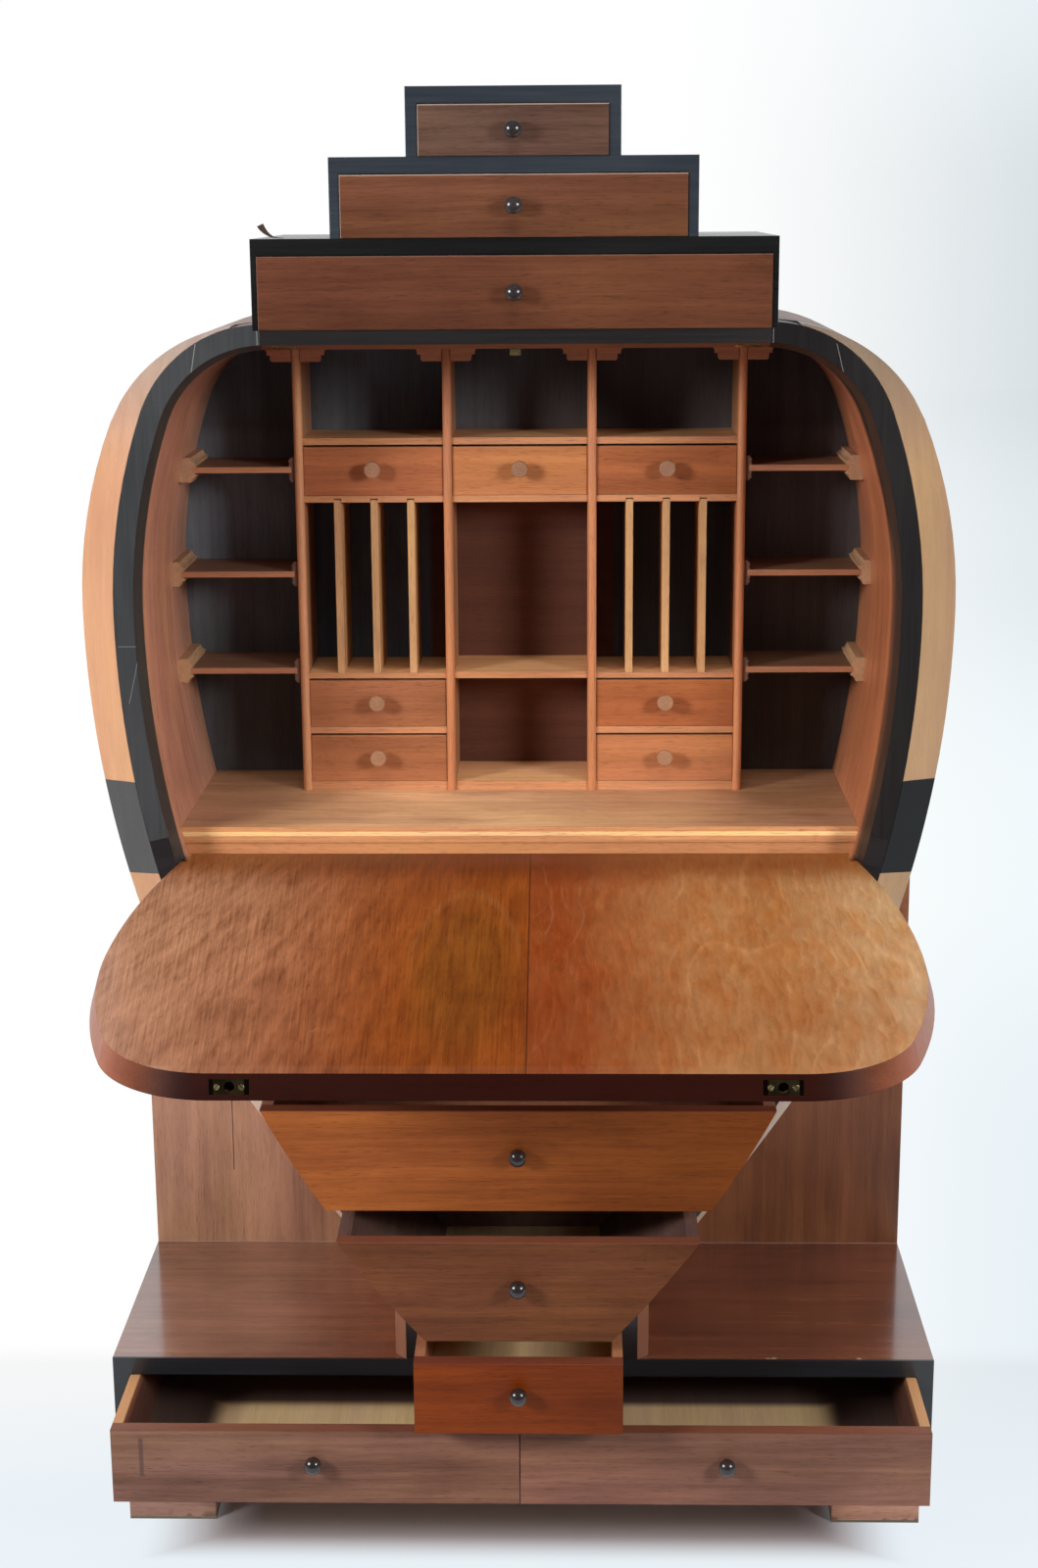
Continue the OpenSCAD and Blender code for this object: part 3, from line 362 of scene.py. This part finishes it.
# ---------------------------------------------------------------- case sides and top
# Thick boards bent to the balloon's curve, lacquered inside in a warm salmon brown. The left one is black at
# its front edge. Painted shade darkens both under the shoulders and towards the back, and a painted shadow
# covers the front of the right one, deeper near the top. The top board closes the case between them.
for name, seed, body in (("side_left", 20, (0.56, 0.265, 0.175)), ("side_right", 22, (0.49, 0.175, 0.085))):
    finish, wire = new_finish(name + "_mahogany")
    place = place_of(wire)
    x, y, z = place.split()
    back_shade = y.step(back_face - 0.1, back_face - 0.01)
    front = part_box(name)[0][1]
    # Painted shade under the shoulders and towards the back board.
    body = wire.paint(body).mix((0.12, 0.062, 0.05), z.step(1.2, 1.32) * 0.8 + back_shade * 0.2)
    if name == "side_right":
        # A painted shadow over the front of the right side, reaching deeper near the top.
        right_front_shadow = (y - z.step(1.08, 1.3) * 0.045).step(front + 0.044, front + 0.01)
        body = body.mix((0.034, 0.021, 0.018), right_front_shadow)
    else:
        facing_edge = y.step(front + 0.021, front + 0.018)
        body = body.mix((0.03, 0.034, 0.038), facing_edge)
    colour, height = timber(place, body, "z", seed, clouds=0.45, streaks=0.6, wander=0.004)
    dress(polish(finish, wire, colour, 0.42, height, 0.0001), name)
finish, wire = new_finish("case_top_mahogany")
place = place_of(wire)
colour, height = timber(place, (0.16, 0.06, 0.035), "x", 22)
dress(polish(finish, wire, colour, 0.5, height, 0.0001), "case_top")


# ---------------------------------------------------------------- black facing of the case
# Ebonised boards bent round the opening, joined at the shoulders and above the block. The joints have
# opened a little and show as thin pale lines, and one scratch runs down the left side. The belts across the
# bevels are of the same black, and the right one is dull. The left board is painted a lighter, bluer black,
# a painted sheen of the white room.
joints = (((-0.3184, 1.3141), (-0.3247, 1.2794), 0.5), ((0.3195, 1.3106), (0.3271, 1.2808), 0.35),
          ((-0.4106, 1.0079), (-0.3873, 1.0078), 0.3), ((-0.3874, 1.0057), (-0.4013, 0.9481), 0.3),
          ((-0.2565, 1.3310), (-0.2565, 1.3075), 0.4), ((0.2565, 1.3310), (0.2565, 1.3075), 0.35))
# The left board's lighter, bluer black is a painted sheen.
dress(black_polish("black_frame_left", "z", (0.03, 0.036, 0.041), 0.34, 1, joints, 0.2), "frame_left")
dress(black_polish("black_frame_right", "z", (0.008, 0.0078, 0.0084), 0.32, 2, joints, 0.15), "frame_right")
dress(black_polish("black_top_rail", "x", (0.011, 0.0105, 0.0115), 0.3, 4, joints, 0.2), "top_rail")
dress(black_polish("black_block_facing", "x", (0.012, 0.0115, 0.013), 0.32, 5), "block_front")
finish, wire = new_finish("black_belts")
place = place_of(wire)
x, y, z = place.split()
body = wire.paint((0.035, 0.034, 0.037)).mix((0.005, 0.0055, 0.0065), x.step(-0.1, 0.1))
colour, height = timber(place, body, "z", 6, pores=0.2)
dress(polish(finish, wire, colour, x.step(-0.1, 0.1, 0.3, 0.55), height, coat=x.step(0.1, -0.1) * 0.45,
             coat_rough=0.15, shine=0.2), "belts")


# ---------------------------------------------------------------- bevels
# Broad bevels of pale wood glued to the outside of the facing: salmon on the left, greyer tan on the right,
# with long fine streaks along the curve, dull at the crown and brown at their feet.
for name, body, crown, grey in (("bevel_left", (0.64, 0.32, 0.165), (0.28, 0.24, 0.235), 0.0),
                                ("bevel_right", (0.45, 0.26, 0.13), (0.135, 0.1, 0.09), 0.35)):
    finish, wire = new_finish(name + "_wood")
    place = place_of(wire)
    x, y, z = place.split()
    body = wire.paint(body).mix(crown, z.step(1.16, 1.34) * 0.85)
    body = body.mix((0.5, 0.42, 0.38), z.step(0.74, 0.68) * 0.6).mix((0.27, 0.11, 0.06), z.step(0.36, 0.3))
    colour, height = timber(place, body, "z", 23, clouds=0.3, streaks=0.28, pores=0.12, wander=0.02)
    stain = (place * (9.0, 9.0, 5.0)).noise(1.0, 3.0).step(0.5, 0.75)
    colour = colour.mix(colour * (0.86, 0.9, 0.95), stain * grey)
    dress(polish(finish, wire, colour, 0.42, height, 0.00008, coat=0.1, round_edge=0.0015), name)


# ---------------------------------------------------------------- stepped top
# Three cases stacked with setbacks, black-polished like the facing. The upper two are painted blue-black, a
# painted reflection of the white room over their shine, and the lowest is a deeper black.
# The blue in the upper two cases' black is a painted reflection.
for name, tone, rough, seed, coat in (("step1", (0.02, 0.028, 0.038), 0.22, 7, 0.35),
                                      ("step2", (0.02, 0.028, 0.038), 0.22, 8, 0.35),
                                      ("step3", (0.004, 0.0044, 0.005), 0.3, 10, 0.1)):
    dress(black_polish("black_" + name, "x", tone, rough, seed, coat=coat), name + "_case")


# ---------------------------------------------------------------- lifted splinter
# At the left front corner of the lowest case a strip of the black veneer has come loose and curls up. It is
# thin, tapers to the right and is still fast at that end.
def shape(name, mesh, body, slot, *finishes):
    """A new piece from a finished bmesh, on a body, with the finishes as its slots. slot is not used."""
    data = bpy.data.meshes.new(name)
    bmesh.ops.recalc_face_normals(mesh, faces=mesh.faces)
    mesh.to_mesh(data)
    mesh.free()
    for finish in finishes:
        data.materials.append(finish)
    piece = bpy.data.objects.new(name, data)
    bpy.context.collection.objects.link(piece)
    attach(piece, body)


splinter_black = black_polish("splinter_black", "x", (0.03, 0.018, 0.013), 0.7, 8, coat=0.0)
veneer_thick = 0.0005
step3_low, step3_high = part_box("step3_case")
curl = bmesh.new()
loops = []
for out, lift, half, back in ((0.0100, 0.0135, 0.0034, 0.0), (0.0112, 0.0112, 0.0033, 0.0004),
                              (0.0128, 0.0088, 0.0029, 0.001), (0.0150, 0.0062, 0.0024, 0.0016),
                              (0.0180, 0.0038, 0.0018, 0.0022), (0.0215, 0.0018, 0.0013, 0.0026),
                              (0.0265, 0.0010, 0.0009, 0.003), (0.0330, 0.0006, 0.0004, 0.0032)):
    x, y, z = step3_low[0] + out, step3_low[1] + 0.008 + back, step3_high[2] + lift
    loops.append([curl.verts.new((x + sign * half * 0.9, y + dy, z + sign * half * 0.4)) for sign, dy in
                  ((-1, 0), (1, 0), (1, veneer_thick), (-1, veneer_thick))])
for before, after in zip(loops, loops[1:]):
    for k in range(4):
        curl.faces.new((before[k], before[(k + 1) % 4], after[(k + 1) % 4], after[k]))
curl.faces.new(loops[0][::-1])
curl.faces.new(loops[-1])
shape("lifted_splinter", curl, "case", "ebonised", splinter_black)


# ---------------------------------------------------------------- writing floor and boards
# The fixed writing floor is pale figured ply whose front edge shows its layers; the apron under it and the
# boards between the drawers are plain mahogany. The floor is painted darker right of the middle and more so
# towards both ends, as the shade of the case sides.
floor_low, floor_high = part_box("floor_board")
finish, wire = new_finish("floor_board_wood")
place = place_of(wire)
x, y, z = place.split()
# Painted shade: darker right of the middle and towards both ends.
body = wire.paint((0.74, 0.43, 0.235)).mix((0.55, 0.3, 0.16), x.step(-0.05, 0.12))
body = body.mix((0.38, 0.19, 0.105), x.size().step(0.14, 0.33))
wavy = place + place.add("CombineXYZ", {0: 0.0, 1: ((place * 14.0).noise(1.0, 2.0) - 0.5) * 0.03, 2: 0.0})
colour, height = timber(wavy, body, "x", 27, clouds=0.6, streaks=0.7, wander=0.03)
top = floor_high[2]
under_board = top - 0.0138
edge = y.step(floor_low[1] + 0.0035, floor_low[1] + 0.001) * z.step(under_board - 0.0007, under_board)
layer = (z.step(top - 0.0052, top - 0.0046) - z.step(top - 0.0098, top - 0.0092)).size()
stripes = wire.paint((0.64, 0.28, 0.12)).mix((0.92, 0.56, 0.26), layer)
stripes = timber(place, stripes, "x", 28, clouds=0.2)[0]
colour = colour.mix(stripes, edge)
apron = z.step(under_board, under_board - 0.0008)
apron_colour = timber(place, (0.62, 0.255, 0.105), "x", 29, clouds=0.2, streaks=0.4)[0]
colour = colour.mix(apron_colour, apron)
dress(polish(finish, wire, colour, 0.5, height, 0.0001), "floor_board")
finish, wire = new_finish("dust_board_wood")
place = place_of(wire)
colour, height = timber(place, (0.22, 0.1, 0.055), "x", 30)
dress(polish(finish, wire, colour, 0.65, height, 0.0001), "dust_boards")


# ---------------------------------------------------------------- pigeonholes
# Upright dividers with rounded front edges, shelves between them, thin pale partitions for letters let
# into the rails, and stepped brackets under the case top. All lightly oiled, no gloss.
finish, wire = new_finish("divider_wood")
place = place_of(wire)
x, y, z = place.split()
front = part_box("dividers")[0][1]
nose = wire.paint((0.62, 0.29, 0.14)).mix((0.57, 0.22, 0.095), x.step(-0.2, -0.12))
body = wire.paint((0.4, 0.19, 0.1)).mix(nose, y.step(front + 0.014, front + 0.008))
colour, height = timber(place, body, "z", 31, clouds=0.3)
dress(polish(finish, wire, colour, 0.5, height, 0.0001), "dividers")
finish, wire = new_finish("bracket_wood")
place = place_of(wire)
colour, height = timber(place, (0.5, 0.19, 0.09), "x", 32, clouds=0.3, streaks=0.4)
dress(polish(finish, wire, colour, 0.5, height, 0.0001), "brackets")
finish, wire = new_finish("unit_shelf_wood")
place = place_of(wire)
x, y, z = place.split()
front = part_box("unit_shelves")[0][1]
lip = y.step(front + 0.002, front + 0.0005)
body = wire.paint((0.74, 0.4, 0.2)).mix((0.56, 0.24, 0.11), lip)
colour, height = timber(place, body, "x", 33, clouds=0.35, streaks=0.6)
dress(polish(finish, wire, colour, 0.55, height, 0.0001), "unit_shelves")
finish, wire = new_finish("partition_wood")
place = place_of(wire)
grime = (place * (20.0, 20.0, 9.0)).noise(1.0, 3.0).step(0.6, 0.75)
colour, height = timber(place, (0.56, 0.3, 0.14), "z", 34, clouds=0.4, streaks=0.45)
colour = colour.mix((0.3, 0.15, 0.08), grime * 0.5)
dress(polish(finish, wire, colour, 0.6, height, 0.0001), "slot_partitions")


# ---------------------------------------------------------------- side shelves and their clips
# Three thin boards each side, held at both ends by scalloped clips of raw pale wood. The boards' tops are
# darker than their front edges, partly the wood and partly painted shade. The clips at the dividers are painted
# dark as shade.
finish, wire = new_finish("side_shelf_wood")
place = place_of(wire)
x, y, z = place.split()
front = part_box("side_shelves")[0][1]
lip = y.step(front + 0.002, front + 0.0005)
# Tops darker than the front edges: partly the wood, partly painted shade.
body = wire.paint((0.22, 0.11, 0.066)).mix((0.42, 0.175, 0.09), lip)
colour, height = timber(place, body, "x", 35, clouds=0.4, streaks=0.6)
dress(polish(finish, wire, colour, 0.55, height, 0.0001), "side_shelves")
finish, wire = new_finish("clip_wood")
place = place_of(wire)
# The clips at the dividers are painted dark as shade.
shaded = place.split()[0].size().step(0.3, 0.27)
body = wire.paint((0.5, 0.28, 0.16)).mix((0.15, 0.07, 0.045), shaded)
colour, height = timber(place, body, "y", 36, pores=0.5)
dress(polish(finish, wire, colour, 0.75, height, 0.0002), "shelf_clips")


# ---------------------------------------------------------------- flap
# One board with two veneers: the left sheet is darker, with streaks that fan out towards the user under
# steep fine fibres, and an arched figure; the right sheet goes from red to pale gold with faint contours.
# Fine scratches and specks lie over both, the edge is stained dark and the underside is plain mahogany. The
# back of the top is painted dark as the case's shadow, and the front is a little darker. The rounded corners of
# the edge are painted lighter and redder as a highlight, and a faint painted highlight runs along the top of
# the front edge, strongest at the corners.
finish, wire = new_finish("flap_veneer")
place = place_of(wire)
x, y, z = place.split()
seam_x = 0.0137
seam = seam_x - y * 0.008
fan = (x - seam_x) / (1.1 - y) * 1.5
wobble = ((place * (6.0, 3.0, 3.0)).noise(1.0, 3.0) - 0.5) * 0.03
figure = place.add("CombineXYZ", {0: fan + wobble, 1: y * 0.05, 2: 0.0})
flame = (figure * 75.0 + place * (0.0, 5.0, 0.0)).noise(1.0, 4.0, 0.6)
steep = place.add("CombineXYZ", {0: (x - seam_x) / (y + 4.0) * 4.0, 1: y * 0.018, 2: 0.0})
fine = (steep * 430.0).noise(1.0, 3.0, 0.6)
cross = (place * (26.0, 15.0, 10.0)).noise(1.0, 4.0, 0.6)
ramp = x.step(-0.36, -0.08)
left = wire.paint((0.375, 0.172, 0.092)).mix((0.235, 0.053, 0.007), ramp)
arch_x, arch_y = (x + 0.045) / 0.052, (y + 0.19) / 0.2
reach = arch_x * arch_x + arch_y * arch_y
reach = reach.add("Math", {0: reach}, operation="SQRT")
olive = reach.step(1.25, 0.5)
left = left.mix((0.19, 0.053, 0.006), olive)
ring = reach + wobble * 3.0
bow = ring.step(0.9, 1.0) * ring.step(1.1, 1.0) * y.step(-0.2, -0.08)
left = left.mix((0.32, 0.13, 0.04), bow * 0.22)
tone_left = 0.5 + (flame - 0.5) * 1.4 + (fine - 0.5) * 1.6 + (cross - 0.5)
left = (left * (0.6, 0.5, 0.42)).mix(left * (1.4, 1.5, 1.52), tone_left.add("Clamp", {0: tone_left}))
fleck = (steep * (620.0, 1.0, 1.0) + place * (0.0, 55.0, 0.0)).noise(1.0, 2.0).step(0.56, 0.7)
left = left * (1 - fleck * 0.3)
right_ramp = x.step(0.04, 0.2)
gold = wire.paint((0.24, 0.052, 0.011)).mix((0.38, 0.158, 0.052), right_ramp)
gold = gold.mix((0.49, 0.265, 0.115), x.step(0.24, 0.38))
drift = (place * (5.0, 1.6, 1.0)).noise(1.0, 2.0, 0.45)
rise = ((x - seam_x) * 5.5 + drift * 2.6) * 5.0
contour = rise.add("Math", {0: rise}, operation="FRACT")
contour = contour.step(0.0, 0.1) * contour.step(0.24, 0.1)
patchy = (place * 11.0).noise(1.0, 2.0).step(0.4, 0.62)
gold = gold.mix(gold * (1.3, 1.5, 1.8), contour * patchy * 0.46)
burr = (place * (40.0, 13.0, 5.0)).noise(1.0, 5.0, 0.68)
pulled = place.add("CombineXYZ", {0: burr * 6.0, 1: 0.0, 2: 0.0})
silk = (place * (230.0, 24.0, 5.0) + pulled).noise(1.0, 3.0, 0.65)
gold = (gold * (1.03, 0.9, 0.76)).mix(gold * (0.98, 1.05, 1.13), burr.step(0.36, 0.62))
dashes = (place * (520.0, 24.0, 1.0)).noise(1.0, 2.0).step(0.6, 0.72) * x.step(0.17, 0.03)
tone_right = 0.5 + (silk - 0.5) * 1.5 + (burr - 0.5) + (cross - 0.5) * 0.7 + dashes * 0.7
gold = (gold * (0.72, 0.66, 0.6)).mix(gold * (1.24, 1.28, 1.32), tone_right.add("Clamp", {0: tone_right}))
colour = left.mix(gold, (x - seam).step(-0.0006, 0.0006))
colour = colour.mix((0.03, 0.01, 0.004), (x - seam).size().step(0.0011, 0.0003) * 0.8)
# Painted shadow of the case over the back of the flap.
flap_case_shadow = y.step(0.02, 0.11)
colour = colour.mix(colour * (0.47, 0.28, 0.12), flap_case_shadow).mix(colour * (0.84, 0.8, 0.8), y.step(-0.12, -0.3))
drag = place.add("CombineXYZ", {0: (place * (5.0, 8.0, 1.0)).noise(1.0, 1.0) * 0.05 - 0.025, 1: 0.0, 2: 0.0})
broken = (place * (40.0, 26.0, 1.0)).noise(1.0, 2.0).step(0.4, 0.6)
scratches = (((0.03, 0.09), (0.033, -0.1), 0.0016, 0.3), ((0.046, 0.1), (0.05, -0.04), 0.0014, 0.28),
             ((0.07, 0.06), (0.058, -0.2), 0.0016, 0.26), ((0.015, -0.05), (0.03, -0.02), 0.001, 0.3),
             ((-0.093, -0.03), (-0.084, -0.028), 0.003, 0.3), ((-0.172, -0.33), (-0.167, -0.32), 0.0018, 0.3),
             ((-0.18, -0.375), (-0.173, -0.345), 0.0016, 0.22), ((0.13, -0.02), (0.17, -0.15), 0.0012, 0.2))
for start, end, width, share in scratches:
    scratch = hairline(place + drag, start, end, width, 0.0008, "xy") * broken
    colour = colour.mix((0.5, 0.3, 0.17), scratch * (share * 0.45))
specks = place.add("TexVoronoi", {"Vector": place * 60.0, "Randomness": 1.0}).step(0.07, 0.03)
rare = (place * 9.0).noise(1.0, 1.0).step(0.56, 0.6)
colour = colour.mix((0.75, 0.66, 0.55), specks * rare * 0.7)
facing = place.add("TexCoord", out=1).split()[2]
face = facing.step(0.55, 0.8)
# The rounded corners are painted lighter and redder: a painted highlight.
corner = x.size().step(0.27, 0.36)
rim = wire.paint((0.024, 0.0035, 0.0015)).mix((0.3, 0.09, 0.045), corner)
rim = timber(place, rim, "x", 37, clouds=0.3, streaks=0.4)[0]
# A painted highlight along the top of the front edge, strongest at the corners.
lip = y.step(-0.3972, -0.4012) * face
colour = colour.mix((0.75, 0.5, 0.34), lip * (corner * 0.4 + 0.02))
outer = timber(place, (0.2, 0.07, 0.03), "y", 38)[0]
under = facing.step(-0.5, -0.8)
colour = rim.mix(colour, face).mix(outer, under)
smear = (place * (7.0, 5.0, 5.0)).noise(1.0, 4.0)
dress(polish(finish, wire, colour, 0.36 + (smear - 0.5) * 0.2, fine * 0.5 + flame * 0.5, 0.00003,
             coat=face * 0.15, coat_rough=0.22, shine=0.22, round_edge=0.0012), "flap")


# ---------------------------------------------------------------- brass of the flap
# Strike plates let into the flap's edge, catches under the case top and the pivots: old yellow brass,
# brown in the corners. The strike plates are nearly black, each held by two slotted screws flush with it.
finish, wire = new_finish("old_brass")
place = place_of(wire)
spots = (place * 260.0).noise(1.0, 4.0, 0.6)
tarnish = (place * 70.0).noise(1.0, 3.0).step(0.42, 0.65)
colour = wire.paint((0.34, 0.23, 0.09)).mix((0.66, 0.5, 0.24), spots)
colour = colour.mix((0.1, 0.06, 0.025), tarnish * 0.7)
x, y, z = place.split()
edge_of_flap = y.step(-0.3, -0.35)
plate_end = (x.size() - 0.2324).size().step(0.0125, 0.0135)
colour = colour.mix((0.035, 0.028, 0.01), edge_of_flap * (0.62 + tarnish * 0.3))
colour = colour.mix((0.012, 0.004, 0.002), edge_of_flap * plate_end * 0.9)
colour = colour * (1 - edge_of_flap * 0.5)
strike_low, strike_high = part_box("flap_strikes")
strike_x, screw_off = 0.232, 0.0105
screw_x = (x.size() - strike_x).size() - screw_off
screw_z = z - (strike_low[2] + strike_high[2]) / 2
from_screw = (screw_x * screw_x + screw_z * screw_z) * 1e6
head = from_screw.step(6.8, 5.4) * edge_of_flap
rim_line = from_screw.step(7.8, 6.8) * edge_of_flap - head
drive = (screw_x * 0.8 + screw_z * 0.6).size().step(0.00055, 0.0003) * head
colour = colour.mix((0.01, 0.008, 0.004), rim_line * 0.9).mix((0.55, 0.42, 0.2), head * 0.8)
colour = colour.mix((0.03, 0.02, 0.01), drive)
relief = spots * 0.5 + head * (1 - from_screw * 0.05) - drive
dress(polish(finish, wire, colour, 0.26 + tarnish * 0.15, relief, 0.0002, metal=0.9, round_edge=0),
      "catches", "flap_strikes", "flap_hinges")


# ---------------------------------------------------------------- large drawers
# Each has a mahogany front, grain across, over sides of the same wood. The top edge of the front differs in
# colour, and on the step drawers the pale top and left edges are painted highlights. The inside is raw and the
# bottom is thin pale ply. In the plinth drawers a painted shadow darkens the back, under the case, and the
# outer ends.
def drawer_wood(name, box, front_thick, body, edge, inner, bottom, seed, rough, fade=None, coat=0.0, marks=(),
                left_highlight=0.0, **shares):
    """A whole drawer. fade is the front's colour at its right end, and marks are thin dark lines down it."""
    low, high = box
    finish, wire = new_finish(name)
    place = place_of(wire)
    x, y, z = place.split()
    body = wire.paint(body)
    if fade:
        body = body.mix(fade, x.step(low[0], high[0]))
    dirt = (place * (2.0, 5.0, 9.0) + (seed, 0.0, 0.0)).noise(1.0, 3.0).step(0.5, 0.72)
    body = body.mix(body * (0.72, 0.7, 0.72), dirt)
    colour, height = timber(place, body, "x", seed, **shares)
    rim = timber(place, edge, "x", seed + 8, clouds=0.3, streaks=0.4)[0]
    raw = timber(place, inner, "y", seed + 3, clouds=0.3)[0]
    ply = timber(place, bottom, "y", seed + 5, clouds=0.15, streaks=0.25, pores=0.1)[0]
    behind = y.step(low[1] + front_thick - 0.0006, low[1] + front_thick + 0.0002)
    if "plinth" in name:
        raw = raw.mix(ply * (0.62, 0.45, 0.4), z.step(high[2] - 0.004, high[2] - 0.001))
        under_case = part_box("plinth_case")[0][1] + 0.078
        # Painted shadow inside: at the back, under the plinth case, and at the outer ends.
        drawer_case_shadow = y.step(under_case - 0.008, under_case + 0.01).higher(x.size().step(0.338, 0.362))
        drawer_case_shadow = drawer_case_shadow * z.step(high[2] - 0.006, high[2] - 0.02)
        raw = raw.mix(raw * (0.4, 0.42, 0.5), drawer_case_shadow)
        ply = ply.mix(ply * (0.14, 0.13, 0.2), drawer_case_shadow)
    # The front's top edge, and on the step drawers its left edge too: painted highlights on the steps.
    edge_strip = z.step(high[2] - 0.0014, high[2] - 0.0004)
    edge_strip = edge_strip.higher(x.step(low[0] + 0.0009, low[0] + 0.0003) * left_highlight)
    bottom_top = low[2] + 0.0058
    colour = colour.mix(rim, edge_strip).mix(raw, behind)
    colour = colour.mix(ply, behind * z.step(bottom_top + 0.0008, bottom_top))
    for start, end, width, tint, share in marks:
        colour = colour.mix(tint, hairline(place, start, end, width, width * 0.3) * share * (1 - behind))
    return polish(finish, wire, colour, rough + behind * 0.25, height, 0.00008, coat=coat, coat_rough=0.2,
                  round_edge=0.0013, shine=0.14)


inner_colours = {"low": (0.42, 0.17, 0.09), "mid": (0.18, 0.1, 0.085)}
scratched = {"plinth_left": (((-0.404, 0.175), (-0.404, 0.13), 0.004, (0.06, 0.04, 0.04), 0.6),)}
# The edge colours of the step drawers are painted highlights.
for name, body, fade, edge, seed, rough, coat in (
        ("step1", (0.1, 0.054, 0.039), (0.1, 0.052, 0.038), (0.36, 0.27, 0.24), 1, 0.36, 0.12),
        ("step2", (0.12, 0.045, 0.0235), (0.113, 0.043, 0.022), (0.36, 0.26, 0.22), 2, 0.36, 0.12),
        ("step3", (0.107, 0.037, 0.0195), (0.1, 0.034, 0.017), (0.16, 0.08, 0.06), 3, 0.36, 0.12),
        ("top", (0.395, 0.115, 0.029), (0.22, 0.057, 0.009), (0.19, 0.05, 0.026), 4, 0.42, 0.03),
        ("mid", (0.167, 0.058, 0.025), (0.133, 0.045, 0.017), (0.24, 0.08, 0.045), 5, 0.42, 0.03),
        ("low", (0.207, 0.038, 0.004), (0.155, 0.028, 0.003), (0.21, 0.053, 0.03), 6, 0.34, 0.05),
        ("plinth_left", (0.228, 0.115, 0.085), (0.235, 0.108, 0.073), (0.21, 0.08, 0.052), 7, 0.4, 0.1),
        ("plinth_right", (0.283, 0.132, 0.088), (0.215, 0.105, 0.074), (0.21, 0.074, 0.047), 8, 0.4, 0.1)):
    inner = inner_colours.get(name, (0.3, 0.125, 0.075))
    dress(drawer_wood("drawer_wood_" + name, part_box("drawer_" + name), 0.016, body, edge, inner,
                      (0.96, 0.7, 0.4), seed, rough, fade, coat, scratched.get(name, ()),
                      0.9 if "step" in name else 0.0, clouds=0.6, streaks=0.75), "drawer_" + name)


# ---------------------------------------------------------------- small drawers
# Seven small drawers with oiled mahogany fronts, lighter and more orange than the large ones, over raw
# sides and thin bottoms.
for name, body, seed in (("a1", (0.44, 0.148, 0.062), 11), ("a2", (0.5, 0.19, 0.077), 12),
                         ("a3", (0.41, 0.133, 0.051), 13), ("b1", (0.38, 0.143, 0.066), 14),
                         ("b3", (0.48, 0.156, 0.056), 15), ("c1", (0.53, 0.205, 0.088), 16),
                         ("c3", (0.48, 0.183, 0.08), 17)):
    dress(drawer_wood("small_drawer_wood_" + name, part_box("drawer_" + name), 0.009, body, (0.42, 0.18, 0.09),
                      (0.34, 0.16, 0.09), (0.42, 0.23, 0.12), seed, 0.5, clouds=0.25), "drawer_" + name)


# ---------------------------------------------------------------- knobs
# The large knobs are turned, stained and polished black; the small ones are left pale and dusty, with the
# end of the grain on their flat faces.
dress(black_polish("black_knob", "y", (0.024, 0.02, 0.021), 0.26, 9),
      *["knob_" + name for name in ("plinth_left", "plinth_right", "low", "mid", "top",
                                    "step1", "step2", "step3")])
finish, wire = new_finish("pale_knob")
place = place_of(wire)
colour, height = timber(place, (0.34, 0.165, 0.09), "y", 39, clouds=0.4, streaks=0.4, pores=0.6)
speck = (place * 700.0).noise(1.0, 2.0).step(0.55, 0.7)
colour = colour.mix((0.5, 0.33, 0.22), speck * 0.5)
dress(polish(finish, wire, colour, 0.65, height, 0.0002),
      *["knob_" + name for name in ("a1", "a2", "a3", "b1", "b3", "c1", "c3")])
